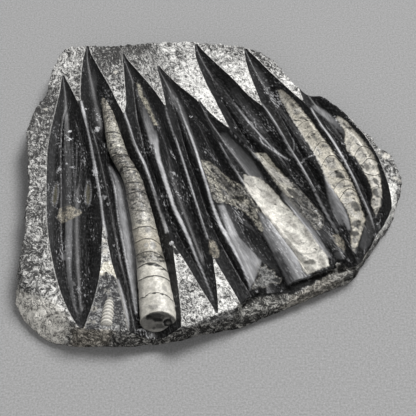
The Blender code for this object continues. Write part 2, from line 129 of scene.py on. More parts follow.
# Left edge and right edge (y, x), then how far each edge drops below the rock: drop, back end, front end
SCOOPS = (
    (
        ((122, -112.3), (105, -112.5), (90, -114), (70, -116), (50, -117), (20, -115), (-10, -112),
         (-30, -108.5), (-50, -103.5), (-70, -97), (-85, -90), (-96, -82.5)),
        ((122, -111.7), (112, -106), (105, -103), (95, -98.5), *CREST_12, (-25, -73), (-45, -72.5),
         (-60, -73.5), (-72, -75.5), (-85, -78.5), (-96, -81.5)),
        (0, 0, 0), (4, 95, -15),
    ),
    (
        ((97, -98), *CREST_12, (-16, -71.5), (-30, -68.5), (-45, -65), (-60, -60), (-75, -56),
         (-104, -49)),
        ((97, -96.5), (80, -84), *RIDGE_2, (-104, -45)),
        (4, 95, -15), (6.5, 99, -170),
    ),
    (
        ((153, -95.4), (140, -97.3), (120, -97.5), (105, -96.8), (95, -96), (80, -92.3), (70, -86),
         *RIDGE_2, (-104, -45)),
        ((153, -94.6), (147, -93), (134, -87), (122, -81), (110, -75), (96, -69), (88, -65.5),
         *CREST_23, (-38, -23.3), (-50, -22), (-60, -20.5), (-80, -18), (-104, -17)),
        (6.5, 99, -170), (4.5, 86, -38),
    ),
    (
        ((145, -67.3), (130, -65.2), (115, -63.6), (100, -62), (90, -61.4), *CREST_23, (-40, -18),
         (-53, -11), (-65, -5), (-84, 6)),
        ((145, -66.7), (138, -63), (130, -57), (120, -50), (110, -43), (100, -37), (93, -33.5),
         *CREST_34, (-44, 3.3), (-57, 5), (-68, 6), (-84, 6.6)),
        (4.5, 86, -38), (4.5, 89, -42),
    ),
    (
        ((132.5, -40.3), (116, -36), (100, -33), (93, -31.7), *CREST_34, (-45, 5), (-52, 9), (-60, 13),
         (-68, 17), (-84, 25)),
        ((132.5, -39.7), (125, -33), (113, -24), (103, -14), *CREST_4, *CREST_4_FRONT, (-84, 80)),
        (4.5, 89, -42), (4, 100, -190),
    ),
    (
        ((97, -7.5), *CREST_4, *CREST_4_FRONT),
        ((97, -6.8), (93, -5), (87, 0), (80, 5), (74, 11), *CREST_45, (-50, 88), (-66, 92)),
        (4, 98, -190), (4, 71, -190),
    ),
    (
        ((155, -10.6), (140, -9.5), (125, -5), (110, 0), (99, 5), (90, 8), (83, 11), (76, 13.7),
         *CREST_45, (-45, 84)),
        ((155, -9.8), (149, -5), (142, 0), (129.5, 10), (117.5, 20), (105, 28), (96, 35), *CREST_56,
         (-21, 93), (-33, 98), (-45, 103)),
        (4, 71, -190), (4, 93, -190),
    ),
    (
        ((150, 28.2), (137, 29.5), (126, 31.5), (115, 34.5), (103, 38), *CREST_56, (-21, 93), (-33, 98),
         (-50, 104)),
        ((150, 28.8), (141, 37), (129, 45), (117.5, 54), (106, 63), (98, 69.5), *CREST_67, (-14, 115.5),
         (-30, 117), (-50, 119)),
        (4, 93, -190), (4, 97, -190),
    ),
    (
        ((112, 68.5), (103, 71), *CREST_67, (-14, 115.5), (-30, 117), (-45, 119)),
        ((112, 77), (104, 87.5), (92, 99.5), (80, 105), (72, 110.5), (64, 115), (53, 120), (42, 124),
         (30, 126.5), (20, 128.3), (10, 129), (0, 129), (-10, 128), (-25, 127), (-45, 126)),
        (4, 97, -190), (1.5, 60, 5),
    ),
    (
        ((3, 9), (-5, 10.5), (-12, 13.5), (-22, 18.5), (-30, 23.5), (-38, 29), (-47, 36), (-57, 47)),
        ((3, 13), (-5, 20), (-12, 29), (-22, 35.5), (-30, 38.5), (-38, 42.5), (-47, 46.5), (-57, 49)),
        (3.5, 60, -190), (5, 60, -190),
    ),
)
SCOOP_SHARE = 0.33
SCOOP_DEEPEST = 10.0
SCOOP_EASE = 4.0
SCOOP_CURVE = 1.8
DROP_RUN = 42.0
EDGE_TOLERANCE = 0.03
SHARED_REACH = 1.3
WEDGE_DROP = 2.6
WEDGE_START = -20.0
WEDGE_RUN = 25.0
WEDGE_SIDES = (-84.0, -48.0)


def rock_level(x, y):
    """The level of the rough rock, which was cut lower in the wedge between the first two scoops."""
    in_wedge = eased((x - WEDGE_SIDES[0]) / 5) * eased((WEDGE_SIDES[1] - x) / 5)
    return ROCK_LEVEL - WEDGE_DROP * in_wedge * eased((WEDGE_START - y) / WEDGE_RUN)


scoop_curves = []
for left, right, left_drop, right_drop in SCOOPS:
    (left_x,), (right_x,) = swept(left), swept(right)
    scoop_curves.append({
        "left": left_x, "right": right_x, "drops": (left_drop, right_drop),
        "back": left[0][0], "front": max(left[-1][0], right[-1][0]),
    })
for number, scoop in enumerate(scoop_curves):
    for other in scoop_curves[number + 1:]:
        both = (SWEEP < min(scoop["back"], other["back"])) & (SWEEP > max(scoop["front"], other["front"]))
        middle = (other["left"] + scoop["right"]) / 2
        near = both & (np.abs(other["left"] - scoop["right"]) < SHARED_REACH)
        other["left"] = np.where(near, middle, other["left"])
        scoop["right"] = np.where(near, middle, scoop["right"])
for scoop in scoop_curves:
    scoop["left"], scoop["right"] = smoothed(scoop["left"]), smoothed(scoop["right"])


def soft_max(first, second, blend):
    share = np.clip(0.5 + 0.5 * (first - second) / blend, 0.0, 1.0)
    return second + (first - second) * share + blend * share * (1.0 - share)


def edge_height(x, y, drop):
    depth, back, front = drop
    return rock_level(x, y) - depth * eased((back - y) / DROP_RUN) * eased((y - front) / DROP_RUN)


def scoop_surface(scoop, x, y):
    """Height of a scoop's floor, and where its plan covers the point."""
    left, right = read(scoop["left"], y), read(scoop["right"], y)
    covered = (x > left - EDGE_TOLERANCE) & (x < right + EDGE_TOLERANCE)
    covered &= (y < scoop["back"] + EDGE_TOLERANCE) & (y > scoop["front"] - EDGE_TOLERANCE)
    width = np.maximum(right - left, 0.01)
    share = np.clip((x - left) / width, 0.0, 1.0)
    left_z, right_z = (
        edge_height(at, y, drop) for at, drop in zip((left, right), scoop["drops"])
    )
    depth = -soft_max(-SCOOP_SHARE * width, -SCOOP_DEEPEST, SCOOP_EASE)
    hollow = depth * (1.0 - np.abs(2.0 * share - 1.0) ** SCOOP_CURVE)
    return left_z + (right_z - left_z) * share - hollow, covered


# The bodies that stand in the scoops: y, x, half width and height of the crown
BODIES = (
    ((104, -108.5, 2, 13), (85, -105, 6, 17.5), (60, -100.5, 9, 19), (20, -96, 10.5, 19.5),
     (-15, -94, 10, 19.5), (-45, -91, 8, 19), (-75, -86, 4.5, 17), (-92, -82.5, 1.5, 15)),
    ((134, -61, 1, 13), (115, -54.5, 4.5, 17.5), (90, -46.5, 7.5, 19.5), (60, -37.5, 8.5, 20),
     (30, -28.5, 8, 19.5), (0, -19.5, 7, 19), (-30, -9, 5.5, 18), (-58, 0, 3, 17), (-74, 5, 1, 16)),
    ((122, -33.5, 1.5, 14), (100, -22.5, 5.5, 18.5), (75, -12.5, 8.5, 19.5), (50, -4, 9, 19.8),
     (25, 3.5, 9, 20), (8, 7.5, 8.5, 20), (-10, 11.5, 7.5, 19.8), (-25, 16.5, 7, 19.8),
     (-42, 23.5, 6.3, 19.5), (-58, 29.5, 5, 18.5), (-68, 33, 3.5, 16)),
    ((40, 3, 3, 17), (28, 11, 8, 19.8), (14, 19.5, 9, 20.2), (2, 27, 7.5, 20), (-10, 35, 6.3, 19.5),
     (-25, 45, 6.3, 19.5), (-42, 54, 6.3, 19), (-60, 62.5, 6, 18)),
    ((33, 28, 3, 16), (22, 34.5, 8, 20), (5, 46, 10.5, 21.8), (-15, 58.5, 11.5, 22.2),
     (-35, 70, 11, 22), (-53, 78.5, 10, 21.5)),
    ((134, 1.5, 1, 14), (112, 11.5, 4, 18), (92, 22, 6, 19.5), (72, 33.5, 6.5, 20), (55, 45, 5.2, 19.5),
     (44, 53, 3.5, 17), (32, 61.5, 1, 12)),
    ((49, 34, 1.5, 17), (38, 43, 4, 20), (25, 53, 5.5, 20.5), (8, 65, 6, 20.5), (-10, 76.5, 6, 20),
     (-28, 87, 5, 19), (-41, 92.5, 4, 17)),
    ((110, 54, 1.5, 15), (100, 58.5, 4.5, 19), (84, 67, 6.6, 21), (66, 76, 7.3, 21.5),
     (45, 85, 7.8, 21.5), (22, 93.3, 8, 21.5), (0, 99.8, 8.2, 21), (-18, 101.5, 6.5, 19.5),
     (-36, 100.8, 4, 16.5)),
    ((95, 82.5, 3, 15.5), (80, 93, 4, 18.5), (64, 105, 5.8, 20), (50, 110.5, 7.2, 20.5),
     (36, 115.5, 6.8, 20.5), (22, 119, 5.5, 20), (8, 119.5, 4.5, 19.5), (-8, 117, 3, 17)),
)
BODY_FLANK = 1.1
BODY_CLEAR = 1.0
BODY_ROUND = 0.82
BODY_BLEND = 1.6
BODY_RISE = 0.12


def body_surface(rows, x, y):
    """Height of a round body that lies along its crown line, far below the plate beside it."""
    crown_x, half_width, crown = swept(rows)
    slope = np.gradient(crown_x, SWEEP)
    radius = read(np.minimum(half_width * BODY_FLANK, (crown - BODY_CLEAR) / 2), y)
    away = np.abs(x - read(crown_x, y)) / np.sqrt(1.0 + read(slope, y) ** 2) / radius
    round_part = np.sqrt(1.0 - np.minimum(away, BODY_ROUND) ** 2)
    flank = np.maximum(away - BODY_ROUND, 0.0) * BODY_ROUND / math.sqrt(1.0 - BODY_ROUND**2)
    surface = read(crown, y) - radius * (1.0 - round_part + flank)
    return np.where((y < rows[0][0]) & (y > rows[-1][0]), surface, -100.0)


# A step along the front right, where the slab was sawn and the front of it broken off below
STEP_LINE = (
    (18, -82), (26, -70), (38, -63), (50, -61.5), (53, -59), (66, -54.5), (84, -47.5), (97, -44.5),
    (106, -45),
)
STEP_FLOOR = 14.5
STEP_FALL = 0.3
STEP_FACE = 0.8


def step_reach(x, y):
    """How far in front of the sawn step a point lies, below zero behind it."""
    line_x, line_y = np.array(STEP_LINE, float).T
    reach = np.interp(x, line_x, line_y) - y
    return np.where((x > line_x[0]) & (x < line_x[-1]), reach, -1.0)


def scooped(x, y):
    """The level left by the scoops alone, and where they cover the plan."""
    floor = np.full(x.shape, np.inf)
    ground_away = np.zeros(x.shape, bool)
    for scoop in scoop_curves:
        height, covered = scoop_surface(scoop, x, y)
        floor = np.where(covered, np.minimum(floor, height), floor)
        ground_away |= covered
    return np.where(ground_away, floor, rock_level(x, y)), ground_away


def emerging(rows, x, y, level):
    """A body that comes out of the floor of its scoop slowly, from its thin end on."""
    most = level + BODY_RISE * (rows[0][0] - y) - BODY_BLEND
    return np.minimum(body_surface(rows, x, y), most)


def top_surface(x, y):
    """The height of the plate's top, and where it is rough rock, for arrays of points."""
    height, ground_away = scooped(x, y)
    for rows in BODIES:
        body = emerging(rows, x, y, height)
        height = np.where(ground_away, soft_max(height, body, BODY_BLEND), height)
    reach = step_reach(x, y)
    broken = reach > STEP_FACE / 2
    height = np.where(broken, np.minimum(height, STEP_FLOOR - STEP_FALL * reach), height)
    return height, ~ground_away | broken


# Edge of the plate, clockwise from the back left: x, y, how far the rim is set in, how far the foot is
OUTLINE = (
    (-117, 147, 2, 3), (-110, 153.8, 2, 4), (-98, 154, 1, 4), (-80, 153.8, 1, 4),
    (-60, 155, 1, 4), (-37, 158, 1, 5), (-13, 158.2, 1, 5), (8, 155.6, 1, 4), (27.5, 153, 1, 4),
    (41, 147, 1, 3), (50, 140, 1, 3), (58.5, 128, 1, 3), (65, 115.5, 1, 3), (73.5, 107, 0, 3),
    (86, 104, 0, 3), (97.2, 92.3, 0, 3), (105.8, 80.2, 0, 3), (116, 68, 1, 3), (123.5, 59, 1, 3),
    (126.5, 51.5, 1, 3), (134, 48.5, 2, 3), (137.7, 36.6, 2, 3), (141, 24, 2, 2), (137.7, 14.4, 3, 2),
    (134, 6.4, 3, 1), (131, -2.2, 2, 0), (126, -9.4, 1, 0), (119, -19.5, 1, 0), (110.8, -31.3, 1, 0),
    (105.7, -38.7, 0, 0), (104, -45, 1, 0), (93.5, -51.3, 1, 0), (78.5, -58.8, 2, 1),
    (62.5, -66.5, 2, 1), (47.7, -73.3, 2, 1), (40.4, -76.2, 3, 1), (26.7, -82.4, 4, 0),
    (13.2, -86, 5, 0), (1, -90, 2, 1), (-9.5, -93.5, 0, 3), (-21, -95.6, 1.5, 1),
    (-35.5, -97.7, 2, 1), (-50, -98, 2, 0), (-67, -97.7, 3, 0), (-86, -98.2, 6, 0),
    (-100, -96.2, 13, 0), (-110, -92, 18, 0), (-119.5, -84, 19, 0), (-126, -75.7, 16, 0),
    (-130.2, -68, 12, 0), (-131, -58.3, 7, 1), (-131.5, -44, 4, 2), (-129, -30, 2, 3),
    (-128, -17, 2, 3), (-129.6, -3, 2, 3), (-130, 6, 2, 3), (-129.3, 20, 2, 3), (-131.7, 33, 2, 3),
    (-132.7, 47, 2, 4), (-135, 59, 2, 4), (-136.7, 69, 2, 4), (-133.5, 83.6, 2, 4),
    (-128.6, 95.7, 2, 4), (-123.4, 104.2, 2, 3), (-123.8, 117.2, 2, 3), (-122, 131.6, 2, 3),
)
SIDE_SPACING = 1.3
SIDE_ROWS = 14
SIDE_ROUGHNESS = 1.4
SIDE_LUMP = 16
SIDE_GRAIN = 4
OUTLINE_BLUR = 2.5
RIM_ROUNDS = 14
FOOT_SHARES = ((0, 1.0), (5, 0.25), (11, 0.0), (30, 0.0))
RIM_SHARES = ((0, 0.0), (5, 0.0), (11, 0.25), (17, 0.6), (22, 1.0), (30, 1.5))

corners = np.array(OUTLINE, float)
loop = np.vstack([corners, corners[:1]])
travelled = np.concatenate([[0], np.cumsum(np.hypot(*np.diff(loop[:, :2], axis=0).T))])
count = round(travelled[-1] / SIDE_SPACING)
stops = np.linspace(0, travelled[-1], count, endpoint=False)
outline = np.stack([np.interp(stops, travelled, column) for column in loop.T], axis=1)
around = np.arange(-6, 7)
weights = np.exp(-0.5 * (around * SIDE_SPACING / OUTLINE_BLUR) ** 2)
rolled = (np.roll(outline, turn, axis=0) * weight for turn, weight in zip(around, weights))
outline = sum(rolled) / weights.sum()
tangent = np.roll(outline[:, :2], -1, axis=0) - np.roll(outline[:, :2], 1, axis=0)
outward = np.stack([-tangent[:, 1], tangent[:, 0]], axis=1)
outward /= np.linalg.norm(outward, axis=1)[:, None]


def side_points(height):
    """The outline's points at one height each, set in by the foot, the rim and the broken rock."""
    foot = outline[:, 3] * np.interp(height, *zip(*FOOT_SHARES))
    rim = outline[:, 2] * np.interp(height, *zip(*RIM_SHARES))
    height = np.broadcast_to(height, rim.shape)
    rough = [
        abs(noise.noise(Vector((x / SIDE_LUMP, y / SIDE_LUMP, z / SIDE_LUMP + 3.7))))
        + 0.3 * noise.noise(Vector((x / SIDE_GRAIN, y / SIDE_GRAIN, z / 3)))
        for (x, y), z in zip(outline[:, :2], height)
    ]
    set_in = foot + rim + SIDE_ROUGHNESS * np.array(rough)
    return outline[:, :2] - outward * set_in[:, None]


rim_height = np.full(len(outline), ROCK_LEVEL)
for _ in range(RIM_ROUNDS):
    rim = side_points(rim_height)
    rim_height = (rim_height + top_surface(rim[:, 0], rim[:, 1])[0]) / 2

# Lines that the mesh follows: every edge and crest of the scoops, the groove on each side of
# every body, and the top and foot of the step
LINE_SPACING = 0.9
GROOVE_SEARCH = np.arange(0.3, 16, 0.15)
INSET = 1.1
WELD = 0.5
lines = []
for scoop in scoop_curves:
    rows = np.arange(scoop["front"], scoop["back"], LINE_SPACING)
    for side in ("left", "right"):
        lines.append(np.stack([read(scoop[side], rows), rows], axis=1))
for rows in BODIES:
    crown_x = swept(rows)[0]
    along = np.arange(rows[-1][0] + 1, rows[0][0] - 4, LINE_SPACING)
    for side in (-1, 1):
        found = []
        for y in along:
            x = read(crown_x, y) + side * GROOVE_SEARCH
            floor, covered = scooped(x, np.full(x.shape, y))
            above = covered & (emerging(rows, x, np.full(x.shape, y), floor) > floor)
            last = np.flatnonzero(~above)[0] if not above.all() else 0
            found.append(x[last] if last > 1 else math.nan)
        found = np.array(found)
        runs = np.flatnonzero(~np.isnan(found))
        if len(runs) > 9:
            first, final = runs[0], runs[-1] + 1
            steady = np.interp(along[first:final], along[runs], found[runs])
            steady = np.convolve(np.pad(steady, 3, mode="edge"), np.ones(7) / 7, mode="valid")
            lines.append(np.stack([steady, along[first:final]], axis=1))
for reach in (0.0, STEP_FACE):
    line_x, line_y = np.array(STEP_LINE, float).T
    along = np.arange(line_x[0], line_x[-1], LINE_SPACING)
    lines.append(np.stack([along, np.interp(along, line_x, line_y) - reach], axis=1))


def inside_rim(points, margin):
    """Which points lie inside the rim by more than a margin."""
    tree = kdtree.KDTree(len(rim))
    for index, (x, y) in enumerate(rim):
        tree.insert((x, y, 0), index)
    tree.balance()
    kept = []
    for x, y in points:
        _, index, distance = tree.find((x, y, 0))
        ahead = (rim[index] - (x, y)) @ outward[index]
        kept.append(ahead > 0 and distance > margin)
    return np.array(kept, bool)


ROCK_SPACING = 0.92
CLEAR_OF_LINES = ROCK_SPACING * 0.6
JITTER = 0.12
rng = np.random.default_rng(7)
plan, edges = [], []


def line_tree():
    tree = kdtree.KDTree(len(plan))
    for index, point in enumerate(plan):
        tree.insert((point.x, point.y, 0), index)
    tree.balance()
    return tree


plan.extend(Vector(point) for point in rim)
edges.extend((i, (i + 1) % len(rim)) for i in range(len(rim)))
for line in lines:
    kept = inside_rim(line, INSET)
    on_lines = line_tree()
    previous = None
    for (x, y), keep in zip(line, kept):
        if not keep:
            previous = None
            continue
        _, nearest, distance = on_lines.find((x, y, 0))
        if distance < WELD:
            current = nearest
        else:
            current = len(plan)
            plan.append(Vector((x, y)))
        if previous is not None and previous != current:
            edges.append((previous, current))
        previous = current
on_lines = line_tree()
low, high = rim.min(axis=0), rim.max(axis=0)
rows = np.arange(low[1], high[1], ROCK_SPACING * math.sqrt(3) / 2)
fill = [
    (x + (ROCK_SPACING / 2 if number % 2 else 0), y)
    for number, y in enumerate(rows) for x in np.arange(low[0], high[0], ROCK_SPACING)
]
fill = np.array(fill) + rng.uniform(-JITTER, JITTER, (len(fill), 2))
fill = fill[inside_rim(fill, CLEAR_OF_LINES)]
plan.extend(Vector(point) for point in fill if on_lines.find((*point, 0))[2] > CLEAR_OF_LINES)
flat_points, flat_edges, triangles, origins, edge_origins, _ = delaunay_2d_cdt(plan, edges, [], 1, 0.05)
creases = {
    tuple(sorted(edge)) for edge, sources in zip(flat_edges, edge_origins)
    if any(source >= len(rim) for source in sources)
}
flat = np.array(flat_points)
height, rough = top_surface(flat[:, 0], flat[:, 1])

# The side hangs from the rim in rows, and the underside closes it
rim_index = {}
for index, sources in enumerate(origins):
    for source in sources:
        if source < len(rim):
            rim_index[source] = index
vertices = [np.column_stack([flat, height])]
faces = [tuple(t) for t in triangles]
previous = [rim_index[i] for i in range(len(rim))]
total = len(flat)
for row in range(1, SIDE_ROWS + 1):
    level = rim_height * (1 - row / SIDE_ROWS)
    ring = side_points(level)
    vertices.append(np.column_stack([ring, level]))
    current = list(range(total, total + len(rim)))
    for i in range(len(rim)):
        j = (i + 1) % len(rim)
        faces.append((previous[i], previous[j], current[j], current[i]))
    previous = current
    total += len(rim)
faces.append(tuple(previous))
vertices = np.vstack(vertices)

# Marks in the stone lie on a level sheet at the rock's height, where the line of sight meets it
SHEET_LEVEL = 22.0
EYE = np.array([
    0.0,
    -CAMERA_REACH * math.cos(CAMERA_ELEVATION),
    AIM_HEIGHT + CAMERA_REACH * math.sin(CAMERA_ELEVATION),
])


def on_sheet(points):
    share = (EYE[2] - SHEET_LEVEL) / (EYE[2] - points[:, 2])
    return EYE[:2] + (points[:, :2] - EYE[:2]) * share[:, None]


def torn_edge(at, shift, size, seed):
    """Points moved about by noise, so that an outline read at them comes out ragged."""
    return at + shift * np.array([noise.noise_vector(Vector((x / size, y / size, seed)))[:2] for x, y in at])


TEAR_SEED = 7
noise.seed_set(TEAR_SEED)
sheet = on_sheet(vertices)
on_top = np.arange(len(vertices)) < len(flat)
torn = torn_edge(sheet, 0.9, 1.7, 3.0)

# Distance from the polished edges, above zero in the rough rock
EDGE_PROBE = 0.6
UNDER_RIM = 3.0
edge_points = []
for scoop in scoop_curves:
    rows = np.arange(scoop["front"], scoop["back"], 0.25)
    for side in ("left", "right"):
        x = read(scoop[side], rows)
        outer = -EDGE_PROBE if side == "left" else EDGE_PROBE
        _, inside = scooped(x + outer, rows)
        edge_points.append(np.stack([x, rows], axis=1)[~inside])
edge_points = np.vstack(edge_points)
edge_tree = kdtree.KDTree(len(edge_points))
for index, (x, y) in enumerate(edge_points):
    edge_tree.insert((x, y, 0), index)
edge_tree.balance()
from_polish = np.array([edge_tree.find((x, y, 0))[2] for x, y in vertices[:, :2]])
from_polish[: len(flat)] *= np.where(rough, 1, -1)
from_polish[len(flat):] += UNDER_RIM

# Painted sheens and highlights where the polish and its rounded crests catch the light, with grey veins and
# the pale outlines of two lens shells: y, x, half width, grey
PAINTED_SHEENS_AND_VEINS = (
    # first scoop
    ((108, -112.5, 1, 36), (85, -113.5, 3, 46), (40, -114, 3.5, 50), (0, -112, 3.5, 50), (-35, -107, 2.5, 42),
     (-60, -100.5, 1.2, 38)),
    ((55, -104, 1.5, 45), (25, -102.5, 2, 62), (0, -101.5, 2, 66), (-10, -101, 1.5, 50)),
    ((60, -100, 0.2, 90), (38, -97.5, 0.25, 120), (20, -95, 0.25, 90)),
    ((52, -100.5, 1, 45), (30, -99.5, 1.5, 56), (-5, -97.5, 2.2, 74), (-12, -96.4, 2.4, 100),
     (-35, -95, 2.4, 105), (-55, -93, 1.6, 100), (-75, -88.5, 0.8, 84), (-90, -84, 0.3, 70)),
    ((-8, -97.3, 0.2, 110), (-30, -95.6, 0.4, 140), (-50, -93, 0.4, 145), (-66, -89.6, 0.3, 130),
     (-86, -84.8, 0.2, 100)),
    # pale outlines of the two lens shells
    ((21.5, -107.8, 0.2, 150), (17, -109.1, 0.3, 160), (10, -110, 0.3, 165), (3, -109.5, 0.3, 160),
     (-1.5, -107.8, 0.2, 140)),
    ((21.5, -107.5, 0.2, 140), (17, -106.3, 0.3, 150), (10, -105.7, 0.3, 155), (3, -106.1, 0.3, 150),
     (-1.5, -107.5, 0.2, 140)),
    ((23, -85.4, 0.2, 140), (18, -86.3, 0.3, 160), (12, -86.9, 0.3, 170), (4, -86.3, 0.3, 160),
     (-0.5, -84.5, 0.2, 140)),
    ((23, -85.1, 0.2, 140), (18, -83.3, 0.3, 150), (12, -82.6, 0.3, 160), (4, -82.6, 0.3, 160),
     (-0.5, -84.2, 0.2, 140)),
    ((92, -107.5, 0.5, 60), (84, -106.5, 1.6, 88), (80, -106, 1.8, 60), (76, -106, 1.5, 40)),
    # crest between the first and second scoops
    ((97, -96, 0.5, 150), (88, -93.8, 1, 170), (84, -92.8, 1.2, 150), (72, -90, 0.6, 140),
     (60, -87, 0.6, 145), (45, -84, 0.7, 165), (38, -82.3, 0.8, 170), (22, -79, 0.7, 175),
     (12, -77, 0.6, 165), (3, -75, 0.7, 170), (-5, -74, 0.7, 165), (-15, -72, 0.9, 175),
     (-25, -70, 1.2, 190)),
    # second scoop
    ((145, -92.5, 0.4, 36), (125, -91, 0.5, 46), (100, -90, 0.5, 40)),
    ((128, -88, 1.5, 45), (112, -87, 2.5, 55), (98, -87, 2, 40)),
    ((35, -71, 1, 60), (28, -66, 2, 100), (15, -61.8, 3.6, 112), (0, -58.8, 4.2, 118),
     (-15, -56, 4.4, 124), (-30, -53.6, 4.0, 128), (-45, -51.5, 3.2, 128), (-60, -49.6, 2.0, 120),
     (-75, -47.6, 1.2, 105), (-85, -46.6, 0.7, 85)),
    ((35, -72, 0.4, 140), (15, -66, 0.5, 175), (-15, -61.5, 0.5, 180), (-50, -54, 0.5, 165),
     (-85, -47, 0.4, 120)),
    # edge of the second scoop beside the wedge
    ((-58, -60.8, 0.8, 120), (-62, -59.6, 1.2, 145), (-72, -56.6, 1.3, 150), (-80, -54.6, 1.3, 150),
     (-86, -52.9, 1.2, 155), (-95, -51.5, 0.8, 140)),
    # crest between the second and third scoops
    ((92, -65, 0.8, 150), (70, -58, 0.9, 165), (58, -55, 0.9, 165), (46, -50, 1, 175), (38, -46, 0.9, 165),
     (28, -43, 0.9, 165), (18, -40, 0.9, 170), (8, -37, 0.8, 165), (0, -35, 0.8, 160), (-12, -31, 0.9, 170),
     (-22, -28, 1.1, 190)),
    # third scoop
    ((92, -48, 1, 60), (80, -46, 2.5, 85), (66, -42, 3, 95), (55, -39.5, 2.5, 110)),
    ((68, -40, 1.6, 80), (60, -38.5, 2.1, 125), (50, -37.5, 1.7, 145), (40, -35.7, 1.5, 160),
     (30, -32.5, 1.6, 170), (20, -30, 1.4, 182), (10, -26.8, 1.3, 190), (0, -24.3, 1.1, 195),
     (-10, -20, 1.3, 190), (-20, -15.8, 1.1, 185), (-30, -12, 0.9, 170), (-40, -8.8, 0.7, 160),
     (-55, -3, 0.5, 140), (-75, 4, 0.4, 110)),
    # crest between the third and fourth scoops
    ((90, -32, 0.5, 140), (80, -30, 0.6, 160), (70, -27, 0.6, 165), (60, -24, 0.6, 170), (47, -20, 0.6, 165),
     (32, -16, 0.6, 170), (17, -12, 0.6, 170), (5, -9, 0.6, 160), (-5, -6, 0.6, 165), (-18, -3, 0.6, 165),
     (-27, 0, 0.7, 160)),
    # fourth scoop
    ((122, -35, 1, 38), (112, -30, 2.2, 54), (100, -26, 3.0, 60), (90, -21.5, 3.2, 62), (80, -18, 2.5, 60),
     (70, -15, 1.5, 52)),
    ((100, -24, 0.4, 120), (82, -19, 0.5, 150), (65, -13.5, 0.6, 170), (52, -9.5, 0.7, 175),
     (40, -6.5, 0.8, 180), (28, -3.5, 0.8, 185), (15, 0, 0.8, 185), (5, 2, 0.9, 190), (-5, 5, 1, 190),
     (-17, 9, 1.2, 195), (-26, 13.5, 1.3, 195), (-33, 17, 1.3, 195), (-40, 20, 1.2, 190),
     (-50, 24, 1, 180), (-60, 27, 0.8, 160), (-67, 28.5, 0.6, 140)),
    ((-25, 23, 0.3, 150), (-33, 27, 0.3, 170), (-41, 32.5, 0.4, 190), (-47, 36, 0.3, 170)),
    ((57, 8, 0.4, 120), (48, 12, 0.5, 140), (38, 16, 0.6, 150), (23, 24, 0.7, 160), (8, 32, 0.7, 165),
     (-5, 40, 0.7, 160)),
    ((66, 11, 2, 60), (58, 15, 3.5, 82), (48, 22, 4.5, 88), (38, 28, 5, 90), (28, 33, 4.5, 88),
     (20, 38, 3.5, 80)),
    # crest between the fourth and fifth scoops
    ((70, 14.5, 0.5, 130), (58, 24, 0.5, 150), (48, 32, 0.5, 150), (39, 38, 0.6, 150)),
    ((12, 52, 1.2, 110), (8, 55, 2, 130), (-5, 62, 2.2, 140), (-18, 70, 2.3, 145), (-32, 77, 2.3, 140),
     (-42, 82, 2, 120)),
    # fifth scoop
    ((125, 3, 0.2, 40), (110, 11, 0.3, 60), (98, 17, 0.4, 85), (90, 22, 0.5, 120), (78, 29, 0.6, 150),
     (67, 36, 0.6, 155), (54, 45, 0.6, 150), (48, 50, 0.5, 130), (41, 58, 0.4, 110)),
    ((110, 18, 2, 45), (95, 27, 3, 60), (80, 34, 3.5, 60), (65, 42, 3, 50)),
    # crests on either side of the sixth scoop
    ((94, 40, 0.5, 130), (86, 45, 0.6, 145), (75, 50, 0.8, 155), (63, 55, 0.8, 155), (50, 60, 0.8, 155),
     (38, 66, 0.8, 160), (28, 70, 0.8, 160), (15, 75, 0.8, 155), (0, 80, 0.8, 155), (-12, 85, 0.8, 150),
     (-22, 90, 0.7, 140)),
    ((90, 77, 0.6, 140), (82, 80, 0.7, 160), (71, 85, 0.7, 170), (62, 90, 0.8, 170), (50, 95, 0.8, 170),
     (37, 100, 0.7, 165), (22, 105, 0.7, 165), (10, 108, 0.7, 160), (-3, 112, 0.6, 155), (-12, 114, 0.5, 130),
     (-20, 114.8, 0.3, 110), (-28, 114, 0.2, 90)),
    # sixth scoop
    ((135, 36, 1.5, 42), (125, 40, 2.5, 58), (115, 43.5, 3, 62), (105, 46, 2.2, 50)),
    ((28, 84, 1, 90), (20, 86, 2.5, 130), (5, 88, 3, 140), (-8, 90.5, 2.5, 130), (-16, 93, 1.5, 100)),
    # smooth left flank of the sixth shell
    ((26, 84.2, 0.8, 165), (15, 87.0, 1.8, 168), (8, 89.2, 2.5, 165), (0, 92, 2.7, 158), (-8, 94.8, 2.4, 148),
     (-14, 96.3, 1.8, 130), (-20, 97.5, 1, 110)),
    # between the tan and the white shells
    ((10, 50, 0.7, 60), (0, 58.5, 1.2, 82), (-8, 64.5, 1.5, 90), (-16, 70, 1.5, 82), (-24, 75, 1.2, 70),
     (-32, 79, 1, 60)),
    # seventh scoop
    ((92, 79, 2, 90), (86, 85, 3, 112), (78, 92, 2.6, 110), (70, 98, 2, 85), (62, 102, 1, 60)),
)
BLACK = 20.0
WALL_SHEEN = 14.0
SHEEN_DEPTH = 6.5
SHEEN_RUN = 3.5
SOFTNESS = 0.5
SOFT_SHARE = 0.35
END_FADE = 3.0


def reach_inside(outline_points, at):
    """Distance inside a closed outline, below zero outside it."""
    corner = np.array(outline_points, float)
    ahead = np.roll(corner, -1, axis=0) - corner
    gap = at[:, None, :] - corner[None]
    share = np.clip((gap * ahead).sum(-1) / (ahead**2).sum(-1), 0, 1)
    distance = np.linalg.norm(gap - ahead * share[..., None], axis=-1).min(axis=1)
    following = np.roll(corner, -1, axis=0)
    crossing = (corner[None, :, 1] > at[:, None, 1]) != (following[None, :, 1] > at[:, None, 1])
    rise = np.where(ahead[:, 1] == 0, 1e-9, ahead[:, 1])
    crossing &= at[:, None, 0] < corner[None, :, 0] + gap[..., 1] * ahead[None, :, 0] / rise
    return np.where(crossing.sum(axis=1) % 2 == 1, distance, -distance)


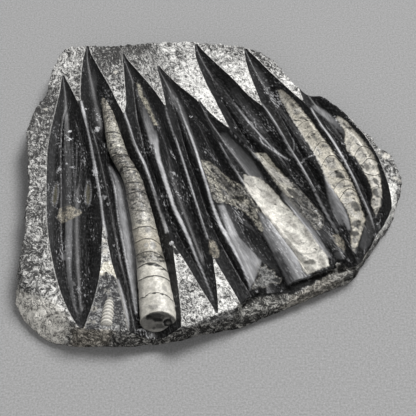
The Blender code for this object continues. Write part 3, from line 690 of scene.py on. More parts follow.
def mark(rows, at):
    """The grey of one long mark, and how fully it covers each point."""
    centre, half, grey = swept(rows)
    slope = np.gradient(centre, SWEEP)
    x, y = at.T
    half = read(half, y)
    away = np.abs(x - read(centre, y)) / np.sqrt(1 + read(slope, y) ** 2)
    soft = np.maximum(SOFTNESS, SOFT_SHARE * half)
    ends = eased((rows[0][0] - y) / END_FADE + 0.5) * eased((y - rows[-1][0]) / END_FADE + 0.5)
    return read(grey, y), eased((half + soft - away) / (2 * soft)) * ends


def light_of(grey):
    """The light that a grey on the scale from 0 to 255 gives back."""
    return (grey / 255) ** 2.2


grey = np.full(len(vertices), BLACK)
# Painted sheen near the rock's level and painted shade deeper down: the polish is lighter where it lies
# shallow below the rock and darker deep in the scoops.
below_rock = rock_level(flat[:, 0], flat[:, 1]) - height
grey[: len(flat)] += WALL_SHEEN * eased((SHEEN_DEPTH - below_rock) / SHEEN_RUN)
for rows in PAINTED_SHEENS_AND_VEINS:
    tone, cover = mark(rows, sheet)
    grey = np.maximum(grey, BLACK + (tone - BLACK) * cover)

# Broad faces of the polish, painted as highlights where they catch the light and as shade where they lie dark,
# with the stripes beside the white shell: name, soft edge, grey, outline
FACES = (
    ("front bulge", 1.4, 116, (
        (6.8, 1), (10, -8.7), (13.9, -24.8), (17.7, -34), (23, -46.9), (27, -59.6), (28.1, -65),
        (31, -60), (34, -52), (36.3, -44.4), (28.8, -35.3), (21.2, -24.8), (16.9, -12.8), (11.4, 1),
    )),
    ("upper highlight of the front bulge", 4.5, 142, (
        (9, -6), (12, -14), (15.5, -24), (19, -24), (16, -15), (12, -6),
    )),
    ("lower highlight of the front bulge", 5.0, 130, (
        (24, -39), (30, -39), (35, -45), (31.5, -52), (27.5, -53),
    )),
    ("striped band", 1.6, 96, (
        (34, -5), (42, -5), (49, -15), (56, -25), (60, -32), (64, -38), (67, -46), (70, -56), (62, -60),
        (53, -63), (51.5, -58), (49, -51), (46, -44), (43.5, -37), (41, -30), (38, -23), (37, -18),
        (36, -10),
    )),
    ("pale side of the striped band", 3.5, 118, (
        (40, -6), (45, -11), (52, -22), (58, -33), (61.5, -42), (64, -52), (62, -58), (58.5, -50),
        (54, -40), (49, -29), (43, -16),
    )),
    ("soft side of the white shell", 3.0, 168, (
        (43.5, -13), (49.5, -23), (54, -30.5), (57.5, -36), (61, -43), (63, -50), (60, -46), (56, -38),
        (52, -31), (47, -23), (42, -13),
    )),
    ("dark stripe of the striped band", 1.2, 62, (
        (45, -38), (48, -36), (54, -50), (58, -61), (55.5, -61.5), (50, -50),
    )),
    ("dark face beside the front bulge", 1.0, 50, (
        (11.4, 1), (14, 1.5), (20, -4), (27, -12), (33, -20), (38, -28), (41, -35), (45, -43), (49, -57),
        (40, -47.5), (36.3, -44.4), (28.8, -35.3), (21.2, -24.8), (16.9, -12.8),
    )),
    ("dark face before the seventh shell", 0.8, 60, (
        (109.5, -10), (112, -6), (113.5, -14), (113.5, -24), (110.5, -32), (106, -37), (103.5, -33),
        (106.5, -22), (109, -16),
    )),
    ("smooth face before the tan shell", 1.2, 62, (
        (75, -20), (78, -19), (84, -26), (85, -31), (82, -33), (78, -27),
    )),
)
for _, soft, tone, outline_points in FACES:
    grey += (tone - grey) * eased(reach_inside(outline_points, sheet) / soft + 0.5)

# Thin veins of calcite that cross the polish: grey, half width, line
VEINS = (
    (120, 0.2, ((29.5, 72.8), (32.7, 75.2), (36.5, 74.4))),
    (150, 0.35, ((38, 61.6), (39.8, 56), (45.2, 51.3), (50.6, 46.6))),
    (165, 0.3, ((50.6, 46.6), (55.4, 42.8), (59.3, 40.3))),
    (140, 0.25, ((67.5, 37.8), (69.9, 41.2), (72.8, 43.5), (75.9, 44.6), (78, 48.2))),
    (110, 0.2, ((62.5, 60.8), (63.1, 55.2), (62.6, 49.7), (60.5, 45.5))),
    (110, 0.2, ((57, 50.5), (58.3, 47.4), (62.2, 42.8))),
    (120, 0.25, ((77, -24), (71, -13), (64, -2), (58, 6))),
    (100, 0.2, ((-96, 56), (-95, 40), (-94.5, 20), (-94, 4))),
    (90, 0.2, ((-69, 60), (-66, 50), (-63, 42))), (100, 0.2, ((46, -36), (52, -50), (57, -62))),
)


def away_from(line, at):
    """Distance of each point from an open line of straight pieces."""
    start = np.array(line, float)
    ahead = np.diff(start, axis=0)
    gap = at[:, None, :] - start[None, :-1]
    share = np.clip((gap * ahead).sum(-1) / (ahead**2).sum(-1), 0, 1)
    return np.linalg.norm(gap - ahead * share[..., None], axis=-1).min(axis=1)


for tone, half, line in VEINS:
    cover = eased((half + 0.5 - away_from(line, sheet)) / 0.8)
    grey = np.maximum(grey, BLACK + (tone - BLACK) * cover)

# Spots in the polish: x, y, half width, half length, lean, grey
SPOTS = (
    (-102, 67, 1.5, 1.3, 0, 190), (-104, 62.5, 1, 1.3, 0, 170), (-101.5, 59.5, 2.6, 1.2, 0, 200),
    (-97, 34, 2.2, 0.8, 0, 170), (-99, 7, 1, 1, 0, 150), (-102, 37, 0.8, 0.8, 0, 160),
    (-107, 32, 1.6, 2.6, 0, 140), (-82, 69, 1.9, 2.9, 0, 165), (-82, 79, 1, 2.2, 0.5, 150),
    (-92, 88, 1, 1, 0, 190), (-85, 88, 0.8, 1, 0, 150), (-82, 103, 0.7, 0.8, 0, 130),
    (-81, 30, 1.9, 4.8, -0.1, 205), (-73, 8, 1.5, 2.2, 0, 120), (-70, 2, 1.2, 1.5, 0, 120),
    (-24.9, -30.5, 1.6, 1.8, 0, 225), (-25.5, 45, 0.7, 3.4, -0.45, 160),
    (-24.5, 28.5, 1.4, 1.8, -0.6, 150), (-21.5, 11, 0.8, 3.6, -0.7, 150), (-18, -6, 0.8, 0.8, 0, 140),
    (-13.3, 81, 1.6, 1, 0.3, 170), (-2.5, 71.5, 0.7, 4, -0.6, 110), (71.5, 41, 0.4, 5, -0.75, 110),
    (69, 39, 0.5, 3, -0.4, 90), (54, 43.5, 0.5, 4.5, -0.85, 120), (-80, 79, 0.7, 3.5, -0.6, 150),
    (-100, 20, 0.8, 2.5, -0.2, 120), (-97, -41, 2.5, 3, 0, 105), (-90, -62, 2, 2.5, 0, 95),
    (-88, -44, 1.2, 3, 0, 80), (-91, 4, 1.4, 1, 0, 150), (-73.5, -35, 0.6, 2.2, 0.1, 150),
    (-89.5, -38, 0.8, 0.8, 0, 90), (-86, -66, 1.4, 1.8, 0, 110), (-73, 96, 1.2, 1.2, 0, 110),
    (-61, -79, 0.7, 2, 0, 120), (88, -40, 3, 3, 0, 70), (92, -36, 1.5, 3, 0, 85), (95, -44, 1, 2, 0, 95),
    (86, -44, 2, 1.2, 0, 60), (117.5, -14.5, 1.2, 0.8, 0.4, 150), (115.5, -23.5, 1.4, 0.9, 0.5, 125),
    (79, 17, 1.2, 1.6, -0.3, 95), (45, 30, 0.5, 5, -0.6, 70), (62.5, 23, 0.8, 1.5, -0.5, 120),
    (66, 18, 1.2, 3, -0.6, 90),
    # chips along the outer edge of the seventh scoop, and beside the seventh shell
    (103.5, 80.6, 1.4, 1, -0.6, 190), (106, 77.5, 1.2, 1, -0.6, 210), (108.6, 74, 1.2, 1.2, -0.6, 200),
    (111, 71, 1, 1, -0.6, 215), (113.2, 68, 1, 1.4, -0.6, 205), (115.5, 64.5, 0.9, 1.4, -0.6, 215),
    (117.6, 61, 0.9, 1.4, -0.6, 200), (119.8, 58, 1, 1.4, -0.6, 210), (96.3, 78, 1, 2.2, -0.4, 190),
    (98.5, 73.5, 0.9, 2, -0.5, 205), (101.5, 68.5, 0.9, 2.6, -0.5, 200), (94.5, 81, 0.7, 1.4, -0.5, 150),
    (75.5, -3.5, 1.2, 1, -0.4, 200), (73.5, -1, 0.8, 0.8, 0, 170), (78, -14, 1.4, 1.1, -0.3, 190),
    (74.5, -18, 0.8, 1.6, -0.4, 175),
)
NO_SPOT = -3.0
spot_reach = np.full(len(vertices), NO_SPOT)
spot_grey = np.full(len(vertices), 150.0)
for x, y, wide, long, lean, tone in SPOTS:
    along = sheet[:, 1] - y
    across = sheet[:, 0] - x - lean * along
    within = (1 - np.sqrt((across / wide) ** 2 + (along / long) ** 2)) * min(wide, long)
    spot_grey[within > np.maximum(spot_reach, NO_SPOT + 0.5)] = tone
    spot_reach = np.maximum(spot_reach, within)

# Calcite of the shells cut open by the polish: outline, colour, and how mottled it is
WHITE = (0.60, 0.585, 0.535)
TAN = (0.32, 0.295, 0.245)
CALCITE = (
    ("white shell", WHITE, 0.3, (
        (25.5, 28), (29, 26.5), (34, 26), (38, 23.5), (42, 19.5), (45, 16), (47, 13), (50, 8), (53, 3),
        (57, -2), (62, -9), (66, -15), (70, -21), (73, -27), (76, -33), (79, -37.5), (81, -42),
        (82, -48.5), (74, -51.5), (66, -55.5), (63.5, -52), (61, -43), (57.5, -36), (54, -30.5),
        (49.5, -23), (43.5, -13), (38.5, -5), (34, 3), (30.5, 9), (27.5, 14), (25, 21),
    )),
    ("mottled shell", (0.45, 0.43, 0.37), 0.95, (
        (-5, 41), (1, 39), (6, 34), (11, 28), (15, 24), (19, 21), (22, 19.5), (25, 16.5), (28, 12),
        (31, 6), (34, 0), (36.5, -5), (36, -12), (38.5, -19), (36.5, -22), (33, -15), (28.5, -8),
        (24.5, -4.5), (20.5, -1), (16, 2), (10, 3.5), (6, 3), (3.5, 7), (2, 13), (0.5, 20), (-1.5, 28),
        (-4, 35),
    )),
    ("speckled end of the tan shell", (0.27, 0.265, 0.25), 1.05, (
        (54, 16), (56, 7), (61, -1), (66, -8), (71, -15), (74, -20), (77.5, -19),
        (80.5, -14), (80, -8), (78, -4), (75, -1), (72, 4), (68, 10), (64, 15), (61, 20), (57, 22),
    )),
    ("tan shell", (0.50, 0.48, 0.42), 0.6, (
        (33, 47), (37, 41), (42, 31), (47, 22), (51, 15), (55, 9), (58, 6), (61, 8), (62, 13), (60, 19),
        (57, 24), (53, 29), (49, 35), (45, 41), (42, 47),
    )),
    ("end of the tan shell", TAN, 1.0, (
        (85.5, -24), (89, -23), (93, -28), (93.5, -33), (93, -37), (89.5, -33.5), (86.5, -29.5),
    )),
    ("torn strip", (0.30, 0.30, 0.29), 0.95, (
        (33.5, -46), (36, -50), (39, -47), (41, -52.5), (44.5, -51), (45, -56), (49.5, -58), (48, -62),
        (42, -61.5), (38, -65), (33, -64.5), (29, -67), (31, -61), (34.5, -57), (33, -51),
    )),
    ("sixth shell", (0.53, 0.50, 0.43), 0.5, (
        (53.4, 107), (54.7, 98), (58.8, 88.5), (62.4, 79), (66, 71), (69.6, 62.6), (73.5, 55), (76.5, 47),
        (79.5, 40), (82, 32), (84, 24), (87, 17), (91, 9), (94.5, 2), (97, -4), (98.5, -10), (99, -16),
        (98, -22), (97.5, -30), (99, -37.4), (101.4, -33.9), (103.7, -27.8), (106.2, -20.8),
        (108.2, -15.4), (109.3, -10.9), (107.7, -3.7), (106.8, 3.7), (105.2, 11.1), (103.4, 17.7),
        (101.6, 23.3), (99, 30.1), (96.4, 36.8), (93.6, 42.5), (90.9, 48.5), (88.2, 54.2), (85.3, 59.6),
        (81.8, 66.2), (78.3, 73.9), (74.7, 81.1), (70.9, 87.4), (67.2, 93.8), (63.4, 99.1), (59.4, 104),
        (56, 107.5),
    )),
    ("seventh shell", (0.64, 0.61, 0.54), 0.45, (
        (95, 80), (98, 74), (101.5, 67), (100.5, 62), (100.3, 55), (101.5, 49), (104, 45.5), (107, 43),
        (109, 38), (110.7, 33.5), (112.2, 29), (113.7, 24.5), (115, 20), (116, 15), (116.3, 10), (115, 5),
        (114.7, 1.5), (116, -3.5), (117, -8), (119.1, -3.7), (121.5, 2), (122.6, 9), (123.3, 16.7),
        (123.4, 23.3), (122.9, 30), (122, 37.8), (120.6, 44.7), (118, 51), (115.3, 56.6), (111.8, 62.6),
        (108.3, 68.4), (104.8, 74), (101.1, 79), (97, 82),
    )),
    ("first patch", TAN, 0.8, (
        (-104, -2), (-97, 1), (-90, -3), (-88, -5.5), (-95, -11), (-101, -14), (-105, -10),
    )),
    ("third patch", TAN, 0.8, ((0.5, -28), (4, -28), (7.5, -37), (7.5, -41.5), (4, -42.5), (1, -38))),
    ("third chain", (0.42, 0.40, 0.33), 0.8, (
        (-55, 114), (-52, 113), (-49, 101), (-45, 95), (-43, 88), (-40, 80), (-37, 72), (-40, 73),
        (-44, 83), (-47, 90), (-49, 95), (-52, 101),
    )),
    ("first lens", (0.065, 0.063, 0.045), 0.3, (
        (-107.8, 19), (-106.6, 12), (-106.8, 4), (-107.7, 1), (-108.8, 4), (-109.2, 12),
    )),
    ("second lens", (0.065, 0.063, 0.045), 0.3, (
        (-85.2, 20), (-83.8, 13), (-83.6, 5), (-84.3, 2), (-85.3, 5), (-86, 13),
    )),
)
# Darker and lighter places in that calcite: x, y, half width, half length, lean, grey
SHADE_TINT = (0.86, 0.83, 0.76)
SHADES = (
    # white shell
    (34.5, 13, 5, 7, -0.5, 216), (41, 10, 4, 4.5, -0.5, 172), (45, 4.5, 4, 3, -0.6, 178),
    (29, 22, 4, 6, -0.4, 168), (46, -12, 4, 13, -0.55, 226), (57, -13, 3, 6, -0.6, 190),
    (55, -24, 2.2, 5, -0.4, 176), (60, -27, 3.5, 5, -0.4, 170), (69, -25, 2.2, 7, -0.35, 190),
    (56, -30, 1.6, 6, -0.55, 226), (65, -36, 7, 1.8, 0, 224), (72.5, -41, 1.5, 6, -0.25, 222),
    (62, -42, 1.5, 6, -0.4, 218), (69, -45.3, 3.8, 2.4, 0.1, 112), (69, -51.5, 5, 1.4, 0.3, 205),
    (77, -46, 2, 5, -0.2, 178), (39, -11, 3.6, 6, -0.6, 92), (43, -22, 2.5, 4, -0.5, 120),
    (54, -38, 0.7, 16, -0.55, 190), (49, -32, 0.5, 12, -0.5, 172), (45.5, -36, 0.5, 10, -0.45, 165),
    (47.5, -38, 0.9, 2, -0.3, 210), (52, -44, 1.6, 7, -0.5, 105), (57, -47, 1.4, 8, -0.5, 118),
    (60, -50, 0.7, 8, -0.5, 190), (52.5, -55, 2.2, 5, -0.5, 212), (57, -58, 1, 3, -0.5, 120),
    # mottled shell
    (25, -1, 4, 3.6, -0.8, 205), (12, 20, 4, 6, -0.7, 118), (19, 13, 6, 4, -0.6, 140),
    (6, 29, 3, 7, -0.5, 150), (5, 7, 3, 5, -0.3, 185), (3.5, 15, 1.6, 4.5, -0.2, 160),
    (10.5, 14, 1, 4, -0.7, 70), (21, 7, 1, 4, -0.7, 80), (8, 25, 0.8, 4, -0.6, 85),
    (32, 1, 2, 3, -0.6, 120), (15, 8, 3, 2.5, -0.5, 160), (29, -3.5, 1.2, 2.5, -0.4, 100),
    (26, 12, 3, 5, -0.6, 165),
    # tan shell
    (38.5, 39, 1.5, 9, -0.55, 205), (48, 27, 4, 7, -0.6, 172), (45, 29, 0.8, 9, -0.55, 205),
    (57, 21, 3, 4, -0.6, 168), (60, 11.5, 3.2, 4.2, -0.6, 92), (54, 10, 1.2, 10, -0.6, 185),
    (63, -3, 1.1, 8, -0.65, 190), (67, 3, 3, 6, -0.6, 130), (71, -13, 1.1, 6, -0.65, 180),
    (76.5, -10, 2.6, 6, -0.3, 196), (73, -6, 2, 4, -0.5, 120), (78, -4, 1.6, 2.5, 0, 100),
    # sixth shell
    (56, 98, 1, 12, -0.42, 190), (68, 66, 1.3, 22, -0.45, 214), (78, 44, 1.4, 14, -0.38, 214),
    (84.5, 24, 1.2, 12, -0.3, 200), (64, 91.5, 1, 3, -0.5, 110), (59, 99, 0.8, 3, -0.5, 120),
    (72, 79.5, 4.5, 0.9, 0.1, 105), (66, 84, 2, 1.4, 0, 140), (78, 62, 1, 5, -0.4, 130),
    (66.5, 86.5, 3, 2, -0.3, 222), (85.5, 53.5, 2.6, 1.8, -0.3, 140), (80.5, 49, 1.5, 4, -0.4, 218),
    (88.5, 38, 3.6, 5, -0.3, 188), (93.5, 27.5, 3.4, 3.4, -0.4, 104), (92, 30, 1.8, 1, 0.3, 70),
    (96.5, 25, 1.6, 1.4, 0, 60), (89, 28, 2.4, 3, -0.3, 196), (94, 18.5, 3, 2.5, 0, 165),
    (99, 17.5, 2.5, 1, 0.2, 110), (99, 10.5, 3.2, 2.2, 0, 140), (98.5, 5, 4, 2.6, -0.2, 180),
    (103.5, 0, 3, 4.2, -0.3, 112), (104.5, -3, 2, 1.2, 0.2, 75), (97, -2, 1, 5, -0.45, 205),
    (101.5, -7, 0.9, 4.5, -0.7, 210), (105.5, -7, 1.6, 3, -0.2, 190), (103, -14.5, 3.4, 3, 0.1, 112),
    (104.5, -12.5, 1.8, 1, 0.3, 70), (101, -22.5, 3, 2.6, 0.2, 92), (103.6, -18.6, 3.6, 0.6, 0.2, 165),
    (107, -17, 0.7, 3, 0.5, 160), (98.5, -19.5, 1.4, 2.2, 0, 100), (100.5, -28, 2.2, 2.4, 0, 150),
    (98.6, -34, 0.8, 2.8, 0, 180), (101, -35, 0.8, 2, 0, 70),
    # seventh shell
    (98.5, 75, 2, 3.5, -0.5, 200), (105, 70, 1.4, 1.4, 0, 70), (102.5, 72, 1, 4, -0.6, 120),
    (107.5, 60, 1.8, 7, -0.55, 232), (111, 54.5, 2.4, 2, 0, 226), (103, 54, 2, 5, 0, 168),
    (113.5, 60, 1, 6, -0.5, 130), (111, 46, 3, 4.5, -0.2, 214), (114, 34.3, 2.3, 3.9, 0, 140),
    (119, 34.2, 1.3, 2.2, 0, 138), (116.5, 37, 1, 5, -0.1, 222), (119.7, 21.5, 2, 3.6, -0.3, 98),
    (116, 23, 1.4, 4, -0.2, 165), (119, 11.5, 2.4, 4.6, -0.2, 92), (121, 12, 0.7, 5, -0.2, 200),
    (117.4, 3.5, 2.2, 3.6, 0, 165), (121, 2, 0.8, 4, 0.25, 175), (117.5, -4, 1, 3, 0.4, 110),
)
NO_CALCITE = -6.0
LOOK_AROUND = 4
calcite_reach = np.full(len(vertices), NO_CALCITE)
calcite_colour = np.tile(np.array(TAN), (len(vertices), 1))
mottling = np.zeros(len(vertices))
for _, colour, mottled, outline_points in CALCITE:
    low = np.min(outline_points, axis=0) - LOOK_AROUND
    high = np.max(outline_points, axis=0) + LOOK_AROUND
    near = np.flatnonzero(np.all((sheet > low) & (sheet < high), axis=1) & on_top)
    reach = reach_inside(outline_points, torn[near])
    cover = eased(reach + 0.5)
    calcite_reach[near] = np.maximum(calcite_reach[near], reach)
    calcite_colour[near] += (np.array(colour) - calcite_colour[near]) * cover[:, None]
    mottling[near] += (mottled - mottling[near]) * cover


def blot(colour, marks, at, soft):
    """Moves colours towards the grey of each mark inside its leaning oval."""
    for x, y, wide, long, lean, tone in marks:
        along = at[:, 1] - y
        across = at[:, 0] - x - lean * along
        within = np.sqrt((across / wide) ** 2 + (along / long) ** 2)
        cover = eased((1 - within) * min(wide, long) / soft + 0.5)[:, None]
        colour += (light_of(tone) * np.array(SHADE_TINT) - colour) * cover


blot(calcite_colour, SHADES, torn, 1.1)

# Bands of paler and darker calcite in the white shell and the sixth shell: grey, half width, line
BANDS = (
    (228, 0.8, ((49, -22), (51, -27), (54, -31.5), (60, -35), (67, -36.8), (72, -35), (76, -30.5))),
    (135, 0.4, ((52, -31), (56, -35), (61, -37.8), (67, -39.2), (74, -37.4), (79, -34))),
    (212, 0.7, (
        (64.5, -41), (69, -40), (73.5, -42), (75, -47), (72, -51), (66, -50.5), (63.5, -46), (64.5, -41),
    )),
    (225, 0.8, ((27, 20), (30, 10), (34, 3.5), (39, -4), (44, -12), (50, -22))),
    (205, 0.5, ((95.2, 8), (98, 12), (101, 12.6), (103.5, 10))),
    (205, 0.7, ((96, 3), (100, -3), (104, -10))),
    (210, 0.7, (
        (111.5, 36), (113, 39.5), (117, 40.5), (121, 38), (121.5, 33), (120, 29), (115, 28.5), (112.5, 31),
        (111.5, 36),
    )),
    (205, 0.6, ((116.5, 26), (117.5, 19), (120, 17.5), (122, 20), (121.5, 26))),
)
for tone, half, line in BANDS:
    cover = eased((half + 0.6 - away_from(line, torn)) / 1.2)[:, None]
    calcite_colour += (light_of(tone) * np.array(SHADE_TINT) - calcite_colour) * cover

# The walls between the chambers: where each meets the left side, the crown and the right side
WALLS_6 = (
    ((58.6, 93.8), (60.4, 97.5), (64.5, 97.0), 0.5), ((63.8, 82.2), (67.6, 85.9), (70.8, 84.1), 0.5),
    ((67.8, 72.9), (72.8, 77), (78.4, 76), 0.6), ((73.7, 63.7), (77.9, 67.7), (81.8, 65.7), 0.6),
    ((77.2, 49.6), (82.3, 56.7), (88.5, 54.8), 1), ((83.2, 37.8), (87.9, 44.6), (93.5, 42), 1),
    ((87.5, 27.2), (91.2, 30.5), (97.5, 31), 0.6), ((91.1, 17.7), (95.5, 22.4), (102.2, 21.4), 0.8),
    ((94.5, 9.5), (99.3, 14.9), (104, 13), 1), ((97, 1), (101, 4), (105, 3), 0.5),
    ((100, -19), (103, -16), (107, -17), 0.4),
)
WALLS_7 = (
    ((99, 68), (103, 71), (107, 69), 0.4), ((107, 45.6), (112.6, 53), (119.5, 48), 1),
    ((110.5, 35), (116, 41.5), (122.5, 39), 1), ((113, 28.5), (118.1, 26.8), (122.6, 28), 1),
    ((116, 15), (119, 17), (123, 16), 0.5), ((116, 6), (119, 8), (122, 7), 0.4),
)
WALLS_OF = {"sixth shell": WALLS_6, "seventh shell": WALLS_7}


def chambers(walls, at):
    """For each point: its chamber's number with its share of the way, that chamber's length, and its wall."""
    x, y = at.T
    levels = []
    walls = sorted(walls, key=lambda wall: wall[1][1])
    for wall in walls:
        wall_x, wall_y = np.array(wall[:3], float).T
        bend = np.polyfit(wall_x, wall_y, 2)
        levels.append(np.polyval(bend, np.clip(x, wall_x[0] - 1.5, wall_x[-1] + 1.5)))
    levels = np.array(levels)
    below = (levels <= y).sum(axis=0)
    low = np.clip(below - 1, 0, len(levels) - 2)
    every = np.arange(len(x))
    length = np.maximum(levels[low + 1, every] - levels[low, every], 1.0)
    number = low + 1 + (y - levels[low, every]) / length
    strength = np.array([wall[3] for wall in walls])
    return number, length, strength[np.clip(np.round(number).astype(int) - 1, 0, len(walls) - 1)]


chamber = np.full(len(vertices), 0.5)
chamber_length = np.full(len(vertices), 10.0)
wall_strength = np.zeros(len(vertices))
for name, _, _, outline_points in CALCITE:
    if name in WALLS_OF:
        reach = reach_inside(outline_points, sheet)
        inside = reach > -3
        found = chambers(WALLS_OF[name], sheet[inside])
        chamber[inside], chamber_length[inside], wall_strength[inside] = found

# How white the crushed rock is: x, y, whiteness
CRUSHED = (
    (-115, 125, 0.55), (-105, 148, 0.6), (-112, 138, 0.7), (-122, 95, 0.22), (-122, 70, 0.28),
    (-122, 45, 0.42), (-122, 20, 0.5), (-120, -5, 0.38), (-120, -30, 0.36), (-112, -50, 0.48),
    (-122, -50, 0.3), (-105, -68, 0.5), (-75, 148, 0.1), (-78, 138, 0.15), (-70, 128, 0.3),
    (-66, 112, 0.6), (-63, 96, 0.75), (-55, 150, 0.25), (-45, 135, 0.55), (-50, 120, 0.5),
    (-38, 112, 0.65), (-25, 152, 0.6), (-27, 140, 0.6), (-33, 128, 0.5), (-8, 142, 0.82), (-18, 128, 0.9),
    (-10, 112, 0.95), (0, 102, 1.0), (5, 92, 0.9), (3, 152, 0.55), (16, 140, 0.55), (20, 130, 0.8),
    (28, 120, 0.95), (32, 108, 0.85), (36, 100, 0.6), (42, 140, 0.35), (48, 133, 0.55), (62, 112, 0.75),
    (128, 52, 0.45), (133, 38, 0.4), (136, 22, 0.5), (130, 5, 0.9), (-71, -30, 0.6), (-68, -45, 0.7),
    (-68, -62, 0.2), (-68, -80, 0.2), (-22, -40, 0.8), (-17, -55, 0.75), (-12, -65, 0.45),
    (-12, -78, 0.6), (-15, -88, 0.6), (-4, -78, 0.8), (8, -60, 0.95), (14, -68, 0.7), (18, -75, 0.9),
    (-95, -80, 0.5),
)
EVEN_OUT = 30
SIDE_WHITENESS = 0.42


def drawn_together(rows, at):
    """A value at each point, from the values at the places nearest to it."""
    places = np.array(rows, float)
    weight = 1 / (((at[:, None, :] - places[None, :, :2]) ** 2).sum(-1) + EVEN_OUT) ** 2
    return (weight * places[:, 2]).sum(1) / weight.sum(1)


whiteness = drawn_together(CRUSHED, sheet)
whiteness[~on_top] = SIDE_WHITENESS

# The dark and the pale of the rock, which change where it is weathered, stained or freshly sawn:
# outline, how soft its edge is, dark, pale, whiteness
ROCK_DARK = (0.056, 0.055, 0.054)
ROCK_PALE = (0.95, 0.94, 0.91)
STAINED = (
    ("weathered slope", 5.0, (0.12, 0.115, 0.105), (1.0, 0.97, 0.90), 0.80, (
        (-134, -52), (-129, -62), (-122, -68), (-112, -72), (-101, -76), (-92, -86), (-89, -96), (-93, -112),
        (-125, -112), (-145, -92), (-142, -55),
    )),
    ("brown front", 5.0, (0.07, 0.064, 0.055), (0.88, 0.82, 0.72), 0.48, (
        (-88, -95), (-80, -93), (-67, -94), (-60, -98), (-64, -108), (-88, -110),
    )),
    ("dark wedge", 1.2, (0.048, 0.048, 0.050), (0.62, 0.62, 0.61), 0.32, (
        (-72, -56), (-62, -56), (-56, -75), (-52, -92), (-50, -96), (-80, -96), (-77, -80), (-74, -65),
    )),
    ("cream band", 0.6, (0.40, 0.37, 0.29), (0.92, 0.89, 0.79), 0.85, (
        (-70.5, -45), (-73.2, -54.1), (-71.2, -56), (-68.9, -52.6), (-64, -55.1), (-60, -59.4),
        (-57.5, -58), (-58.3, -51), (-64.2, -47.5), (-66.6, -44.5),
    )),
    ("pale leg of the wedge", 0.8, (0.22, 0.21, 0.20), (0.55, 0.54, 0.51), 0.5, (
        (-60.9, -58), (-59.4, -59.5), (-56.2, -72), (-52.6, -86), (-51, -95), (-52.6, -95), (-54.1, -86),
        (-57.6, -72),
    )),
    ("dark crest before the third wedge", 1.0, (0.03, 0.03, 0.03), (0.16, 0.16, 0.16), 0.1, (
        (-27, -26), (-22.6, -34), (-18.6, -38), (-22.4, -38.6), (-24.6, -36),
    )),
    ("front wall", 1.5, (0.024, 0.023, 0.022), (0.85, 0.83, 0.78), 0.32, (
        (-62, -99), (-40, -99.5), (-21, -97), (0, -91.5), (13, -88.5), (26.7, -88.5), (40.4, -82.5),
        (47.7, -79.6), (62.5, -73), (78.5, -65), (93.5, -57.5), (102, -52), (104, -62), (80, -78),
        (60, -88), (40, -98), (20, -106), (0, -112), (-30, -118), (-62, -118),
    )),
    ("tan ledge", 2.0, (0.075, 0.071, 0.063), (0.62, 0.59, 0.53), 0.55, (
        (50, -70), (58, -70), (72, -61), (82, -52), (94, -46), (92, -60), (75, -70), (60, -78), (45, -82),
    )),
    ("pale corner", 1.5, (0.08, 0.077, 0.07), (0.78, 0.76, 0.71), 0.62, (
        (84, -50), (87, -46), (97, -47), (104, -41), (108, -35), (110, -36), (104, -46), (96, -54),
        (86, -61), (80, -58),
    )),
    # The dark ledge along the step is partly the sawn stone's own dark and partly painted shade of the step's
    # face and its foot.
    ("dark ledge", 1.2, (0.018, 0.018, 0.018), (0.10, 0.10, 0.095), 0.1, (
        (26, -68), (39, -64.5), (50, -61.5), (54, -63), (67.5, -56.5), (84, -48.5), (84.6, -50.8),
        (79.6, -55.8), (67.1, -63.6), (53.8, -70.4), (49.5, -69.7), (38.6, -72.2), (27.8, -74),
    )),
    ("grey ledge", 1.5, (0.035, 0.034, 0.032), (0.62, 0.61, 0.57), 0.42, (
        (20, -76), (28, -74), (39, -72), (50, -70), (56, -71), (50, -78), (40, -83), (27, -89), (16, -90),
    )),
    ("white rim", 0.8, (0.22, 0.22, 0.21), (0.95, 0.94, 0.90), 0.95, (
        (128.5, 20), (134.5, 20), (133, 8), (132, -2), (128, -10), (121.5, -20), (116, -27.5), (114, -26),
        (119, -18.5), (124, -10.5), (127.3, -3), (128.8, 6),
    )),
    ("rough dark ground before the tan shell", 1.5, (0.030, 0.030, 0.032), (0.26, 0.26, 0.26), 0.22, (
        (84, -33), (90, -36), (96, -38), (98, -42), (95, -47), (86, -45), (82, -42),
    )),
)
rock_dark = np.tile(np.array(ROCK_DARK), (len(vertices), 1))
rock_pale = np.tile(np.array(ROCK_PALE), (len(vertices), 1))
for _, soft, dark, pale, white, outline_points in STAINED:
    cover = eased(reach_inside(outline_points, torn) / soft + 0.5)
    rock_dark += (np.array(dark) - rock_dark) * cover[:, None]
    rock_pale += (np.array(pale) - rock_pale) * cover[:, None]
    whiteness += (white - whiteness) * cover
rock_pale *= (0.55 + 0.45 * whiteness)[:, None]

# Round pieces of shell in the rough rock: x, y, half width, half length, lean, grey
ROCK_SPOTS = (
    (129.2, 44.2, 2.9, 2.9, 0, 225), (133.9, 24.8, 1.8, 1.8, 0, 222), (-71, 125, 1.8, 1.8, 0, 220),
    (-74.5, -81, 2.1, 2.2, 0, 180), (-74.5, -81, 0.9, 1, 0, 80), (-71, -28.5, 1.2, 1.8, 0, 220),
    (-70, -37, 1.8, 2.4, 0, 225), (-66, -68, 0.8, 2, 0, 170), (-68, -67, 0.6, 1.2, 0, 160),
    (-77, -90, 1, 1.5, 0, 165), (-74, -91, 1.5, 1.2, 0, 160), (106, -39.5, 1.5, 4.5, 0.5, 190),
    (125, 47, 1, 1.4, 0, 215), (137, 22, 1.2, 1.5, 0, 205), (-122, 88, 1.4, 1, 0, 205),
    (-64, 133, 1.4, 1.4, 0, 190),
)
blot(rock_dark, ROCK_SPOTS, torn, 0.6)
blot(rock_pale, ROCK_SPOTS, torn, 0.6)

